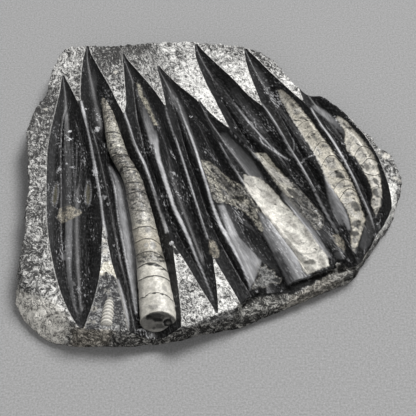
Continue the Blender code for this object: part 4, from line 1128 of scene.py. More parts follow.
# The sawn face of the step and the strip at its foot are painted dark: partly the sawn stone's own dark,
# partly painted shade on the face and painted shadow that the step casts on the strip.
STRIP_WIDTH = 3.2
STRIP_FADE = 1.6
SAWN_AND_SHADE_DARKER = 0.75
SAWN_LESS_WHITE = 0.95
step = step_reach(vertices[:, 0], vertices[:, 1])
sawn_and_shaded = eased((step + 0.3) / 0.5) * eased((STRIP_WIDTH - step) / STRIP_FADE) * on_top
rock_dark *= (1 - SAWN_AND_SHADE_DARKER * sawn_and_shaded)[:, None]
whiteness *= 1 - SAWN_LESS_WHITE * sawn_and_shaded

# The shells lean to the left, most of all a little right of the middle: x at the front, and the lean
LEAN = (
    (-130, 0.1), (-96, 0.13), (-50, 0.25), (-20, 0.3), (12, 0.45), (45, 0.65), (70, 0.62), (100, 0.5),
    (119, 0.3), (140, 0.2),
)
LEAN_ROUNDS = 12
lean_x, lean_share = np.array(LEAN, float).T
lane = sheet[:, 0].copy()
for _ in range(LEAN_ROUNDS):
    lane = (lane + sheet[:, 0] + np.interp(lane, lean_x, lean_share) * sheet[:, 1]) / 2


def stone_piece(name, points, faces):
    """A mesh piece from points in plan millimetres."""
    mesh = bpy.data.meshes.new(name)
    mesh.from_pydata(((points - (MIDDLE.x, MIDDLE.y, 0)) * MM).tolist(), [], faces)
    mesh.validate()
    mesh.polygons.foreach_set("use_smooth", [True] * len(mesh.polygons))
    piece = bpy.data.objects.new(name, mesh)
    bpy.context.scene.collection.objects.link(piece)
    return piece


plate = stone_piece("plate_stone", vertices, faces)
plate_mesh = plate.data
ends = np.empty(len(plate_mesh.edges) * 2, int)
plate_mesh.edges.foreach_get("vertices", ends)
sharp = [tuple(sorted(pair)) in creases for pair in ends.reshape(-1, 2).tolist()]
plate_mesh.attributes.new("sharp_edge", "BOOLEAN", "EDGE").data.foreach_set("value", sharp)


def paint(mesh, name, values):
    kind = "FLOAT" if values.ndim == 1 else "FLOAT_VECTOR"
    field = "value" if values.ndim == 1 else "vector"
    mesh.attributes.new(name, kind, "POINT").data.foreach_set(field, values.ravel())


paint(plate_mesh, "rock", from_polish)
paint(plate_mesh, "polish_grey_and_sheen", light_of(grey))
paint(plate_mesh, "spot_reach", spot_reach)
paint(plate_mesh, "spot_grey", light_of(spot_grey))
paint(plate_mesh, "calcite", calcite_reach)
paint(plate_mesh, "calcite_colour", calcite_colour)
paint(plate_mesh, "mottling", mottling)
paint(plate_mesh, "chamber", chamber)
paint(plate_mesh, "chamber_length", chamber_length)
paint(plate_mesh, "wall_strength", wall_strength)
paint(plate_mesh, "whiteness", whiteness)
paint(plate_mesh, "rock_dark", rock_dark)
paint(plate_mesh, "rock_pale", rock_pale)
paint(plate_mesh, "lane", np.stack([lane, sheet[:, 1], np.zeros(len(lane))], axis=1))


class Wire:
    """An output in a node tree. Sums on it add Math nodes, and node() adds any other kind."""

    def __init__(self, tree, socket=None):
        self.tree, self.socket = tree, socket

    def node(self, kind, settings=(), values=(), output=0):
        made = self.tree.nodes.new(kind)
        for name, value in dict(settings).items():
            setattr(made, name, value)
        for name, value in dict(values).items():
            if isinstance(value, Wire):
                self.tree.links.new(value.socket, made.inputs[name])
            else:
                made.inputs[name].default_value = value
        return Wire(self.tree, made.outputs[output] if made.outputs else None)

    def math(self, operation, first, second=0.0):
        return self.node("ShaderNodeMath", {"operation": operation}, {0: first, 1: second})

    def floor(self):
        return self.math("FLOOR", self)

    def size(self):
        return self.math("ABSOLUTE", self)

    def __add__(self, other):
        return self.math("ADD", self, other)

    def __radd__(self, other):
        return self.math("ADD", other, self)

    def __sub__(self, other):
        return self.math("SUBTRACT", self, other)

    def __rsub__(self, other):
        return self.math("SUBTRACT", other, self)

    def __mul__(self, other):
        return self.math("MULTIPLY", self, other)

    def __rmul__(self, other):
        return self.math("MULTIPLY", other, self)

    def __rtruediv__(self, other):
        return self.math("DIVIDE", other, self)

    def between(self, low, high):
        """0 below the lower value, 1 above the higher one, eased in the middle."""
        return self.node(
            "ShaderNodeMapRange", {"interpolation_type": "SMOOTHSTEP"},
            {"Value": self, "From Min": low, "From Max": high},
        )

    def over(self, under, share):
        """This colour laid over another one by a share."""
        return self.node("ShaderNodeMix", {"data_type": "RGBA"}, {0: share, 6: under, 7: self}, 2)

    def times(self, factor):
        """A colour or vector made stronger or weaker by one number."""
        return self.node("ShaderNodeVectorMath", {"operation": "SCALE"}, {0: self, "Scale": factor})

    def stretched(self, by):
        return self.node("ShaderNodeVectorMath", {"operation": "MULTIPLY"}, {0: self, 1: by})

    def moved(self, by):
        return self.node("ShaderNodeVectorMath", {"operation": "ADD"}, {0: self, 1: by})

    def beyond(self, start):
        return self.node("ShaderNodeVectorMath", {"operation": "SUBTRACT"}, {0: self, 1: start})


def finish(name):
    """A new material: its tree's wire and its shader."""
    material = bpy.data.materials.new(name)
    material.use_nodes = True
    return material, Wire(material.node_tree), material.node_tree.nodes["Principled BSDF"]


def grain(at, size, detail=2.0, distortion=0.0, roughness=0.5):
    """Noise whose lumps are about one size, in the units of the place it is given."""
    return at.node("ShaderNodeTexNoise", {"noise_dimensions": "3D"}, {
        "Vector": at, "Scale": 1.0 / size, "Detail": detail,
        "Distortion": distortion, "Roughness": roughness,
    })


def read_paint(wire, name, vector=False):
    """A number or, with vector, a colour or place that was painted on the mesh."""
    output = "Vector" if vector else "Fac"
    return wire.node("ShaderNodeAttribute", {"attribute_name": name}, output=output)


def place_in_mm(wire):
    """Where a point of the piece lies, in millimetres."""
    return wire.node("ShaderNodeTexCoord", output="Object").times(1000.0)


limestone, wire, shader = finish("limestone")

# The chisel left the rock in tilted chips on low lumps; the tree lifts them out of the smooth slab
CHISELLING = {
    "Lump size": 6.5, "Lump height": 1.1, "Chip size": 2.6, "Chip tilt": 0.42, "Crumb height": 0.5,
    "Seed": 4.0,
}
rock_tree = bpy.data.node_groups.new("broken_rock", "GeometryNodeTree")
rock_tree.interface.new_socket("Stone", in_out="INPUT", socket_type="NodeSocketGeometry")
for name in CHISELLING:
    rock_tree.interface.new_socket(name, in_out="INPUT", socket_type="NodeSocketFloat")
rock_tree.interface.new_socket("Stone", in_out="OUTPUT", socket_type="NodeSocketGeometry")
chisel = Wire(rock_tree)
given = {name: chisel.node("NodeGroupInput", output=name) for name in ("Stone", *CHISELLING)}
spot = chisel.node("GeometryNodeInputPosition").times(1000.0)
height_above = chisel.node("ShaderNodeSeparateXYZ", values={0: spot}, output="Z")
shift = chisel.node("ShaderNodeCombineXYZ", values={"X": given["Seed"], "Y": given["Seed"], "Z": 0.0})
shifted = spot.moved(shift)
lump = chisel.node("ShaderNodeTexNoise", values={
    "Vector": shifted, "Scale": 1 / given["Lump size"], "Detail": 1.5,
})
cell = {
    output: chisel.node("ShaderNodeTexVoronoi", values={
        "Vector": shifted, "Scale": 1 / given["Chip size"], "Randomness": 1.0,
    }, output=output) for output in ("Position", "Color")
}
chip = chisel.node("ShaderNodeVectorMath", {"operation": "DOT_PRODUCT"}, {
    0: shifted.beyond(cell["Position"]), 1: cell["Color"].beyond((0.5, 0.5, 0.5)),
}, "Value")
crumb = chisel.node("ShaderNodeTexNoise", values={"Vector": shifted, "Scale": 0.7, "Detail": 1.0})
lift = (lump - 0.5) * 2 * given["Lump height"] + chip * 2 * given["Chip tilt"]
lift = lift + (crumb - 0.5) * 2 * given["Crumb height"]
on_rock = chisel.node(
    "GeometryNodeInputNamedAttribute", {"data_type": "FLOAT"}, {"Name": "rock"}, "Attribute",
)
lift = lift * on_rock.between(0.0, 1.6) * height_above.between(0.2, 1.5) * 0.001
offset = chisel.node("GeometryNodeInputNormal").times(lift)
stone = chisel.node("GeometryNodeSetPosition", values={"Geometry": given["Stone"], "Offset": offset})
stone = chisel.node("GeometryNodeRealizeInstances", values={"Geometry": stone})
stone = chisel.node("GeometryNodeSetMaterial", values={"Geometry": stone, "Material": limestone})
chisel.node("NodeGroupOutput", values={"Stone": stone})
chiselled = plate.modifiers.new("broken_rock", "NODES")
chiselled.node_group = rock_tree
for socket in rock_tree.interface.items_tree:
    if socket.in_out == "INPUT" and socket.name in CHISELLING:
        chiselled[socket.identifier] = CHISELLING[socket.name]
now = bpy.context.evaluated_depsgraph_get()
plate.data = bpy.data.meshes.new_from_object(
    plate.evaluated_get(now), preserve_all_data_layers=True, depsgraph=now,
)
plate.modifiers.clear()
bpy.data.meshes.remove(plate_mesh)

place = place_in_mm(wire)
lane_place = read_paint(wire, "lane", vector=True)
rock = read_paint(wire, "rock")
calcite_edge = read_paint(wire, "calcite")
mottled = read_paint(wire, "mottling")
whiteness_here = read_paint(wire, "whiteness")

# Polished black stone with its painted sheens, highlights and shade, and short pale flecks that lie along the
# shells
streak = grain(lane_place.stretched((1.0, 0.16, 1.0)), 1.0, detail=3.0)
cloud = grain(place, 9.0, detail=3.0)
speckle = grain(lane_place.stretched((1.0, 0.5, 1.0)), 1.1, detail=3.0, roughness=0.65)
fleck = grain(lane_place.stretched((1.0, 0.35, 1.0)), 0.9, detail=2.0)
hairline = grain(lane_place.stretched((1.0, 0.05, 1.0)), 0.55, detail=1.0)
many = grain(lane_place.stretched((1.0, 0.4, 1.0)), 12.0, detail=2.0)
fleck_cover = (fleck + (many - 0.5) * 0.8).between(0.63, 0.80)
polish_grey_and_sheen = read_paint(wire, "polish_grey_and_sheen") * (0.35 + streak * 1.3) * (0.5 + cloud * 1.0)
polish_grey_and_sheen = polish_grey_and_sheen + speckle.between(0.45, 0.9) * 0.07 + fleck_cover * 0.22
polish_grey_and_sheen = polish_grey_and_sheen + hairline.between(0.58, 0.78) * 0.045
tear = grain(place, 1.3, detail=3.0, distortion=0.6, roughness=0.6)
spot_cover = (read_paint(wire, "spot_reach") + (tear - 0.52) * 6.0).between(-0.1, 0.5)
spot_tone = read_paint(wire, "spot_grey") * (0.3 + speckle * 1.1)
polish_grey_and_sheen = polish_grey_and_sheen + (spot_tone - polish_grey_and_sheen) * spot_cover
polish_colour = wire.node("ShaderNodeCombineColor", values={
    0: polish_grey_and_sheen, 1: polish_grey_and_sheen, 2: polish_grey_and_sheen * 1.02,
})


def calcite_finish(wire, place, ground, mottled):
    """Calcite, clouded and cracked, with a dark line at each chamber wall: colour, relief and specks."""
    strength = read_paint(wire, "wall_strength")
    wobble = grain(place, 3.5, detail=3.0)
    number = read_paint(wire, "chamber") + (wobble - 0.5) * 0.16
    whole = (number + 0.5).floor()
    from_wall = (number - whole) * read_paint(wire, "chamber_length")
    wall_line = 1 - from_wall.size().between(0.15, 0.62)
    below_wall = (1 - (0.0 - from_wall).between(0.0, 2.2)) * (0.0 - from_wall).between(0.0, 0.3)
    beside_wall = from_wall.size().between(0.5, 0.9) * (1 - from_wall.size().between(0.9, 1.8))
    tint = wire.node("ShaderNodeTexWhiteNoise", {"noise_dimensions": "1D"}, {"W": number.floor()})
    cloud = grain(place, 4.5, detail=3.0, distortion=0.6)
    speck = grain(place, 1.3, detail=3.0, distortion=0.5, roughness=0.6)
    crack = grain(place, 4.0, detail=2.0, distortion=1.8) - 0.5
    crack_line = (1 - crack.size().between(0.0, 0.035)) * speck.between(0.4, 0.55)
    crystal = wire.node("ShaderNodeTexVoronoi", values={"Vector": place, "Scale": 1 / 1.9}, output="Color")
    crystal = wire.node("ShaderNodeSeparateColor", values={0: crystal}, output=0)
    light = 0.72 + cloud.between(0.3, 0.7) * 0.34 + (tint - 0.5) * 0.14
    light = light + (crystal - 0.5) * (0.10 + mottled * 0.30)
    light = light * (1 - (1 - speck.between(0.32, 0.58)) * (0.18 + mottled * 0.60))
    bent = wire.node("ShaderNodeTexNoise", values={"Vector": place, "Scale": 0.5}, output="Color")
    joint = wire.node("ShaderNodeTexVoronoi", {"feature": "DISTANCE_TO_EDGE"}, {
        "Vector": place.moved(bent.times(2.6)), "Scale": 1 / 2.6,
    })
    light = light * (1 - (1 - joint.between(0.02, 0.12)) * (mottled - 0.35).between(0.0, 0.5) * 0.5)
    growth = grain(place.stretched((0.35, 1.0, 0.35)), 1.5, detail=2.0, distortion=0.7) - 0.5
    growth_line = (1 - growth.size().between(0.01, 0.07)) * (mottled - 0.5).between(0.0, 0.6)
    light = light * (1 - growth_line * 0.45)
    light = light * (1 - crack_line * (0.05 + mottled * 0.4)) * (1 - below_wall * strength * 0.25)
    light = light * (1 + beside_wall * strength * 0.22)
    wall_line = wall_line * strength
    light = light * (1 - wall_line * 0.82)
    light = light * (1.0 + grain(place, 8.0).between(0.4, 0.75) * 0.18)
    relief = cloud * 0.4 + speck * 0.5 - wall_line * 1.2 - crack_line * 0.5
    return ground.times(light), relief, speck


calcite_ground = read_paint(wire, "calcite_colour", vector=True)
calcite_tone, calcite_relief, cells = calcite_finish(wire, place, calcite_ground, mottled)
ragged = (cells - 0.5) * (0.6 + mottled * mottled * 5.0) + calcite_edge
hollows = grain(lane_place.stretched((1.0, 0.55, 1.0)), 2.6, detail=3.0, distortion=0.5)
in_calcite = ragged.between(-0.6, 0.6) * (1 - (hollows + mottled * 0.20).between(0.66, 0.80) * 0.85)

# Broken rock, pale with crushed calcite, in chips that lie mostly along the shells
swerve = wire.node("ShaderNodeTexNoise", values={
    "Vector": place, "Scale": 1 / 12, "Detail": 2.0,
}, output="Color")
swerved = lane_place.moved(swerve.times(22.0))
chips = grain(swerved.stretched((1.0, 0.5, 1.0)), 2.0, detail=4.0, distortion=0.5, roughness=0.7)
ridge = grain(swerved.stretched((1.0, 0.55, 1.0)), 4.2, detail=2.0, distortion=0.6) - 0.5
ridge = 1 - ridge.size().between(0.0, 0.09)
lumps = grain(place, 4.5, detail=2.0, distortion=0.4)
patches = grain(place, 12.0, detail=1.0)
crumbs = grain(place, 0.9, detail=2.0)
facet = wire.node("ShaderNodeTexVoronoi", values={"Vector": place, "Scale": 1 / 2.4}, output="Color")
facet = wire.node("ShaderNodeSeparateColor", values={0: facet}, output=0)
pattern = (chips - 0.5) * 4.0 + (lumps - 0.5) * 1.0 + (patches - 0.5) * 0.5 + (facet - 0.5) * 0.4
pattern = pattern + (ridge - 0.35) * 0.5 + (crumbs - 0.5) * 1.5 + (whiteness_here - 0.5) * 1.1 + 0.48
white = pattern.between(-0.1, 1.25)
rim_line = 1 - (rock + (crumbs - 0.5) * 0.9).between(0.4, 1.3)
white = white.math("MAXIMUM", white, rim_line * (crumbs * 1.1 + lumps * 0.6 - 0.25))
pale_rock = read_paint(wire, "rock_pale", vector=True)
dark_rock = read_paint(wire, "rock_dark", vector=True)
rock_colour = pale_rock.over(dark_rock, white * (0.5 + white * 0.5))

in_rock = (rock + (crumbs - 0.5) * 0.5).between(-0.15, 0.15)
polished = calcite_tone.times(0.72 + calcite_edge.between(-0.3, 1.6) * 0.32).over(polish_colour, in_calcite)
colour = rock_colour.over(polished, in_rock)
roughness = 0.33 + in_calcite * 0.12 + (streak - 0.5) * 0.1
roughness = roughness + (0.75 - roughness) * in_rock
relief = (chips * 1.2 + ridge * 0.3 + crumbs * 0.4) * in_rock + calcite_relief * 0.1 * in_calcite
bump = wire.node("ShaderNodeBump", values={"Height": relief, "Distance": 0.0016, "Strength": 1.0})
wire.tree.links.new(colour.socket, shader.inputs["Base Color"])
wire.tree.links.new(roughness.socket, shader.inputs["Roughness"])
wire.tree.links.new(bump.socket, shader.inputs["Normal"])
shader.inputs["Specular IOR Level"].default_value = 0.11
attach(plate, "root")
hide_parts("plate")


# The big shell is a straight chambered shell of cream calcite that stands proud in the second scoop.
# It was freed with the chisel and rubbed smooth; its broken front end shows the last chamber.
BIG_SHELL = (
    (114, -82.5, 1, 13), (103, -79, 3, 16.5), (88, -75.1, 4.3, 18.5), (72, -71.4, 5.4, 20),
    (60, -68.5, 6.2, 20.5), (50, -65.3, 6.2, 21), (44, -62.5, 5.8, 21), (38, -59.2, 5.8, 21),
    (30, -55.2, 6.2, 21), (22, -52.8, 6.6, 21), (14, -50.9, 7, 21.3), (2, -48, 7.5, 22),
    (-13, -44.7, 8.1, 22.6), (-37, -40, 9.3, 23.8), (-57, -36.4, 10.8, 24.6),
    (-81, -33, 11.7, 25), (-88, -32.4, 11.6, 25),
)
RING_SPACING = 0.55
RING_POINTS = 112
TIP_LENGTH = 0.8
STANDS_OUT = 1.02
END_LEAN = 0.4
END_RUN = 28.0
END_FLATTENING = 0.32
FACE_STEPS = 34
WALL_GROOVE = 0.35
UNEVEN = 0.35
LIP = 1.1
LIP_ROUND = 0.9
FACE_DISH = 0.8
HOLLOW = (
    (-41, -86.5), (-37, -84), (-31, -83), (-26, -84.5), (-22.6, -88), (-23.5, -91.5), (-29, -92.2),
    (-34, -91), (-38, -89.5),
)
HOLLOW_DEPTH = 3.0
HOLLOW_SIDE = 1.2
SIPHUNCLE = (-26.6, -90.2)
SIPHUNCLE_OUTER = 2.6
SIPHUNCLE_BORE = 1.7
SIPHUNCLE_SIDE = 0.6


def tube_faces(ring_count, points):
    """Faces of a closed tube whose rings run away from a first point towards a last one."""
    faces = []
    for i in range(points):
        j = (i + 1) % points
        faces.append((0, 1 + j, 1 + i))
        for ring in range(ring_count - 1):
            here = 1 + ring * points
            following = here + points
            faces.append((here + i, here + j, following + j, following + i))
        last = 1 + (ring_count - 1) * points
        faces.append((last + i, last + j, last + points))
    return faces


axis_x, half_width, crown = swept(BIG_SHELL)
lie = np.gradient(axis_x, SWEEP)
stations = np.arange(BIG_SHELL[0][0], BIG_SHELL[-1][0], -RING_SPACING)
angle = np.arange(RING_POINTS) / RING_POINTS * 2 * math.pi
rings = []
for y in stations:
    across = read(half_width, y) * STANDS_OUT
    toward_end = eased((BIG_SHELL[-1][0] + END_RUN - y) / END_RUN)
    tall = min(across, (read(crown, y) - BODY_CLEAR) / 2) * (1 - END_FLATTENING * toward_end)
    lean = END_LEAN * toward_end
    slope = read(lie, y)
    side, up = across * np.sin(angle), tall * np.cos(angle)
    stretch = math.sqrt(1 + slope**2)
    rings.append(np.stack([
        read(axis_x, y) + side / stretch,
        y - side * slope / stretch + lean * up,
        read(crown, y) - tall + up,
    ], axis=1))
centre = rings[-1].mean(axis=0)
end_ring = rings[-1]
for step in range(1, FACE_STEPS):
    share = 1 - step / FACE_STEPS
    ring = centre + (end_ring - centre) * share
    inset = (1 - share) * np.linalg.norm(end_ring - centre, axis=1)
    ring[:, 1] -= LIP_ROUND * np.sqrt(1 - (1 - np.minimum(inset / LIP, 1)) ** 2)
    ring[:, 1] += FACE_DISH * eased((inset - LIP) / 2.5)
    seen = on_sheet(ring)
    from_pipe = np.linalg.norm(seen - SIPHUNCLE, axis=1)
    beside_pipe = eased((from_pipe - SIPHUNCLE_OUTER) / SIPHUNCLE_SIDE)
    ring[:, 1] += HOLLOW_DEPTH * eased(reach_inside(HOLLOW, seen) / HOLLOW_SIDE) * beside_pipe
    ring[:, 1] += HOLLOW_DEPTH * eased((SIPHUNCLE_BORE - from_pipe) / SIPHUNCLE_SIDE)
    rings.append(ring)
tip = np.array([[read(axis_x, stations[0]), stations[0] + TIP_LENGTH, rings[0][:, 2].mean()]])
big_points = np.vstack([tip, *rings, rings[-1].mean(axis=0, keepdims=True)])
on_face = np.arange(len(big_points)) > len(stations) * RING_POINTS
big_shell = stone_piece("big_shell", big_points, tube_faces(len(rings), RING_POINTS))
BIG_WALLS = (
    ((-80.1, 99.2), (-78.5, 101.5), (-73.4, 97.6), 0.5), ((-78.5, 92), (-76, 94), (-71, 91), 0.6),
    ((-77.5, 85.1), (-74, 85.9), (-69.1, 83.6), 0.7), ((-76.9, 75.2), (-72.2, 76), (-66.8, 73.7), 0.6),
    ((-75.2, 65.4), (-70.5, 66.6), (-65.1, 64.7), 0.9), ((-73.5, 56.5), (-68.9, 57.7), (-62.9, 55.8), 0.5),
    ((-71.9, 49.9), (-67.4, 51.8), (-61.5, 50.3), 0.5), ((-69.8, 43.4), (-64.8, 45.5), (-57.2, 44.1), 1),
    ((-66.6, 36.2), (-61.5, 38.7), (-54.6, 38.3), 0.6), ((-62.3, 28.5), (-56.9, 31.5), (-50.9, 29.9), 0.8),
    ((-59.4, 19.3), (-53.3, 21.3), (-46.4, 19.3), 0.7), ((-57.9, 9.6), (-51.8, 12.3), (-44.4, 11), 0.9),
    ((-55.2, -1), (-49.2, 3.7), (-42.4, 0), 0.6), ((-54.3, -8), (-47.8, -4.2), (-40.5, -6), 0.5),
    ((-52.1, -20), (-45.1, -16.7), (-36.7, -19), 0.9), ((-50.5, -31), (-42.5, -26.7), (-33.1, -31), 0.9),
    ((-49, -41), (-39.5, -37), (-30.2, -42), 0.9), ((-47.9, -50.8), (-38.5, -46.2), (-28, -52.4), 1),
    ((-46.6, -60.5), (-35.6, -56), (-25, -60.5), 1), ((-44.8, -74), (-34, -69), (-22, -76.5), 1),
    ((-46, -106), (-33, -103), (-20, -106), 0),
)
BIG_COLOURS = (
    (102, (0.38, 0.355, 0.30)), (85, (0.47, 0.44, 0.38)), (66, (0.55, 0.53, 0.46)),
    (55, (0.62, 0.60, 0.52)), (44, (0.36, 0.34, 0.30)), (36, (0.32, 0.30, 0.26)),
    (26, (0.46, 0.44, 0.38)), (14, (0.33, 0.31, 0.28)), (2, (0.42, 0.40, 0.36)),
    (-12, (0.50, 0.48, 0.42)), (-30, (0.43, 0.395, 0.325)), (-40, (0.38, 0.36, 0.31)),
    (-49, (0.56, 0.54, 0.48)), (-90, (0.52, 0.50, 0.45)),
)
BIG_MOTTLING = (
    (102, 1.1), (85, 1.15), (60, 0.95), (46, 1.2), (10, 1.1), (-12, 0.7), (-34, 0.4), (-38, 0.8),
    (-45, 0.8), (-48, 0.12), (-90, 0.10),
)
# Dark and pale marks on the big shell and its broken end: x, y, half width, half length, lean, grey
BIG_MARKS = (
    (-77.5, 97, 0.6, 3, 0.1, 60), (-74, 92, 2.5, 0.6, 0, 90), (-73, 88, 3, 0.6, 0, 95),
    (-74, 84, 3, 0.5, 0, 85), (-75, 80, 0.8, 1.8, 0.3, 70), (-72, 79, 0.8, 1.6, 0, 95),
    (-71.5, 66, 4.5, 0.7, 0.2, 105), (-69, 62.5, 2.2, 1.4, 0, 165), (-68.5, 57, 3, 2, 0, 212),
    (-71, 54, 1, 2, 0, 95), (-66, 50, 4, 1.5, 0, 200), (-67.5, 47, 1.6, 1.2, 0.4, 80),
    (-62, 44, 4.2, 0.8, 0, 62), (-69, 41, 1.5, 1.8, 0, 105), (-62, 39, 4, 2, 0, 150),
    (-63, 30, 1.1, 4.2, 0.35, 72), (-59, 34.5, 3.4, 0.7, 0, 85), (-54, 34, 3, 0.8, -0.6, 70),
    (-59, 31, 2.2, 2, 0, 165), (-56.5, 27, 3, 2.4, 0, 185), (-53, 29, 1, 2, 0, 110),
    (-63.5, 25, 1.8, 1, -0.5, 210), (-52, 20.3, 4, 0.7, 0, 95), (-57, 22, 2, 1.2, 0, 195),
    (-51, 14.5, 3.5, 0.8, 0.2, 80), (-47, 12, 1.2, 2.4, 0.6, 85), (-56, 12, 2, 3, 0, 140),
    (-50, 8, 3, 1.6, 0, 150), (-53, 5.5, 2, 1, 0, 130), (-49.5, 1.5, 4.5, 1.8, 0, 178),
    (-52.5, -1.5, 1.6, 1.2, 0, 110), (-46, 0, 1.8, 1, 0, 125), (-48, -3.6, 6, 0.5, 0, 85),
    (-47, -8, 3, 2.4, 0, 195), (-48, -13, 2.4, 1.8, 0, 140), (-41, -11, 1, 1.6, 0, 135),
    (-41.5, -19.5, 2, 2.4, 0, 160), (-37.5, -32, 2, 3, -0.3, 155), (-42, -32, 1.5, 2, 0, 170),
    (-43, -41.5, 1.6, 1, 0.5, 115), (-44.5, -45, 2, 0.9, 0.6, 110), (-38.5, -41, 1.2, 0.8, 0, 105),
    (-40, -44, 3, 1, 0, 190), (-33, -41.5, 2.6, 0.8, -1.2, 70), (-31, -44.5, 2.2, 0.8, -1.2, 85),
    (-34.5, -44.5, 2, 0.7, -1.0, 130), (-38.5, -47.2, 2.6, 0.8, 0, 45), (-34, -48.3, 2.6, 0.8, -0.8, 40),
    (-30.5, -51, 2.6, 0.6, -1, 60), (-38, -64, 1, 3.4, 0, 215), (-28.5, -66, 1.4, 2.4, -0.3, 175),
    (-35.3, -73, 0.5, 3.6, 0.1, 228), (-38.5, -78.5, 3.6, 0.5, 1.2, 225),
    (-31, -79.5, 3.6, 0.5, -1.1, 225), (-36, -79.5, 3.5, 2, 0, 172),
)
# On the broken end, the darkest marks in the hollow of the last chamber are painted shade.
FACE_MARKS_AND_HOLLOW_SHADE = (
    (-32, -91.5, 12.5, 8.2, 0, 124), (-41, -92, 2.6, 4, 0.3, 135), (-33, -97.6, 8, 1.8, 0, 150),
    (-34, -87.4, 6.8, 3, 0, 60), (-38.5, -86.6, 1.8, 0.9, 0, 26), (-33, -89, 3, 1.3, 0, 34),
    (-28.6, -87.3, 2.2, 1.6, 0, 98), (-37.6, -90.6, 2.8, 1.8, 0, 122), (-31, -93.6, 3, 1.6, 0, 95),
    (-35, -95, 1.2, 1, 0, 75), (-26, -91, 3.9, 3.6, 0, 140), (-26, -91, 3.1, 2.9, 0, 20),
    (-26, -91.1, 1.5, 1.3, 0, 95), (-24.5, -96.5, 1.2, 1, 0, 80),
)
big_vertices = np.array([vertex.co for vertex in big_shell.data.vertices]) / MM + (MIDDLE.x, MIDDLE.y, 0)
big_sheet = on_sheet(big_vertices)
number, length, strength = chambers(BIG_WALLS, big_sheet)
number[on_face] = 0.5
paint(big_shell.data, "chamber", number)
paint(big_shell.data, "chamber_length", length)
paint(big_shell.data, "wall_strength", strength)
from_wall = np.abs(number - np.round(number)) * length
groove = WALL_GROOVE * strength * (1 - eased((from_wall - 0.1) / 0.7)) * ~on_face
uneven = UNEVEN * np.array([noise.noise(Vector(point) / 3.5) for point in big_vertices]) * ~on_face
shell_normals = np.array([vertex.normal for vertex in big_shell.data.vertices])
moved = big_vertices - (MIDDLE.x, MIDDLE.y, 0) + shell_normals * (uneven - groove)[:, None]
big_shell.data.vertices.foreach_set("co", (moved * MM).ravel())
big_shell.data.update()
stops, colours = zip(*sorted(BIG_COLOURS))
shell_colour = np.stack([np.interp(big_sheet[:, 1], stops, c) for c in zip(*colours)], axis=1)
big_torn = torn_edge(big_sheet, 0.5, 1.3, 9.0)
body = ~on_face
body_colour, face_colour = shell_colour[body], shell_colour[on_face]
blot(body_colour, BIG_MARKS, big_torn[body], 0.7)
blot(face_colour, FACE_MARKS_AND_HOLLOW_SHADE, big_torn[on_face], 0.4)
shell_colour[body], shell_colour[on_face] = body_colour, face_colour
paint(big_shell.data, "calcite_colour", shell_colour)
paint(big_shell.data, "mottling", np.interp(big_sheet[:, 1], *zip(*sorted(BIG_MOTTLING))))
calcite, wire, shader = finish("shell_calcite")
place = place_in_mm(wire)
ground = read_paint(wire, "calcite_colour", vector=True)
tone, relief, _ = calcite_finish(wire, place, ground, read_paint(wire, "mottling"))
bump = wire.node("ShaderNodeBump", values={"Height": relief, "Distance": 0.0003, "Strength": 0.8})
wire.tree.links.new(tone.socket, shader.inputs["Base Color"])
wire.tree.links.new(bump.socket, shader.inputs["Normal"])
shader.inputs["Roughness"].default_value = 0.42
big_shell.data.materials.append(calcite)
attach(big_shell, "root")
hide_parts("plate")


# A small ribbed shell lies in the low wedge between the first two scoops, freed on its upper side
# and cut off with the plate's front edge.
RIBBED_SHELL = (
    (-71.5, -65, 2.0, 19.8), (-76, -65.3, 3.2, 21.2), (-82, -65.7, 3.8, 21.7), (-88, -66, 4.1, 21.9),
    (-93, -66.2, 4.3, 21.9),
)
RIB_PITCH = 2.6
RIB_HEIGHT = 0.24
RIB_STEP = 0.3
RIB_POINTS = 40
RIB_COLOUR = (0.56, 0.54, 0.49)
CUT_END_COLOUR = (0.10, 0.09, 0.08)

axis_x, half_width, crown = (
    np.interp(SWEEP, *zip(*sorted((row[0], row[column]) for row in RIBBED_SHELL))) for column in (1, 2, 3)
)
angle = np.arange(RIB_POINTS) / RIB_POINTS * 2 * math.pi
stations = np.arange(RIBBED_SHELL[0][0], RIBBED_SHELL[-1][0], -RIB_STEP)
rings = []
for y in stations:
    rib = RIB_HEIGHT * math.cos(2 * math.pi * y / RIB_PITCH)
    across = read(half_width, y) + rib
    arch = 0.5 * across * np.cos(angle)
    rings.append(np.stack([
        read(axis_x, y) + across * np.sin(angle),
        y + arch,
        read(crown, y) - read(half_width, y) + across * np.cos(angle),
    ], axis=1))
points = np.vstack([rings[0].mean(axis=0, keepdims=True), *rings, rings[-1].mean(axis=0, keepdims=True)])
ribbed_shell = stone_piece("ribbed_shell", points, tube_faces(len(rings), RIB_POINTS))
along = np.concatenate([stations[:1], np.repeat(stations, RIB_POINTS), stations[:1]])
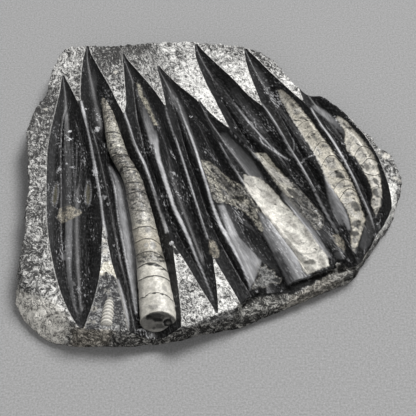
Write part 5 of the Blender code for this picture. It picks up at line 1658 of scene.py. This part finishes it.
# The ribs are painted paler on their crests than between them, and darker towards the back end of the shell.
rib_top = 0.5 + 0.5 * np.cos(2 * math.pi * along / RIB_PITCH)
back_end_dimming = np.clip((RIBBED_SHELL[0][0] + 1 - along) / 6, 0.15, 1)
rib_white = np.array(RIB_COLOUR) * ((0.38 + 0.62 * rib_top) * back_end_dimming)[:, None]
rib_white[-1] = CUT_END_COLOUR
paint(ribbed_shell.data, "rib_white", rib_white)
rib_calcite, wire, shader = finish("rib_calcite")
place = place_in_mm(wire)
tone = read_paint(wire, "rib_white", vector=True).times(0.45 + grain(place, 1.2, detail=2.0) * 1.1)
wire.tree.links.new(tone.socket, shader.inputs["Base Color"])
bump = wire.node("ShaderNodeBump", values={"Height": grain(place, 0.6), "Distance": 0.0002, "Strength": 0.6})
wire.tree.links.new(bump.socket, shader.inputs["Normal"])
shader.inputs["Roughness"].default_value = 0.55
ribbed_shell.data.materials.append(rib_calcite)
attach(ribbed_shell, "root")
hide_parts("plate")


# The plate lies on pale grey paper in a plain room. One large window behind it to the right
# lights it and gives the soft shadow, and a weak lamp in front lifts the dark side.
floor_mesh = bpy.data.meshes.new("floor")
floor_mesh.from_pydata([(-3, -3, 0), (3, -3, 0), (3, 3, 0), (-3, 3, 0)], [], [(0, 1, 2, 3)])
floor = bpy.data.objects.new("floor", floor_mesh)
bpy.context.scene.collection.objects.link(floor)
paper, wire, shader = finish("paper")
place = place_in_mm(wire)
fibre = grain(place, 1.3, detail=2.0, roughness=0.7)
shade = 0.125 + fibre * 0.285
paper_colour = wire.node("ShaderNodeCombineColor", values={0: shade, 1: shade, 2: shade})
wire.tree.links.new(paper_colour.socket, shader.inputs["Base Color"])
shader.inputs["Roughness"].default_value = 0.95
shader.inputs["Specular IOR Level"].default_value = 0.1
floor_mesh.materials.append(paper)


def soft_light(name, place, width, power):
    """A square light that faces the middle of the plate, in metres and watts."""
    data = bpy.data.lights.new(name, "AREA")
    data.shape = "RECTANGLE"
    data.size = width
    data.size_y = width
    data.energy = power
    light = bpy.data.objects.new(name, data)
    light.location = place
    light.rotation_euler = Vector(place).to_track_quat("Z", "Y").to_euler()
    bpy.context.scene.collection.objects.link(light)


soft_light("window", (1.95, 2.47, 4.3), 1.95, 405)
soft_light("fill", (-0.4, -1.6, 1.3), 1.6, 15)
world = bpy.data.worlds.new("room")
world.use_nodes = True
world.node_tree.nodes["Background"].inputs["Color"].default_value = (0.9, 0.9, 0.9, 1)
world.node_tree.nodes["Background"].inputs["Strength"].default_value = 0.22
bpy.context.scene.world = world
bpy.context.scene.view_settings.view_transform = "Standard"
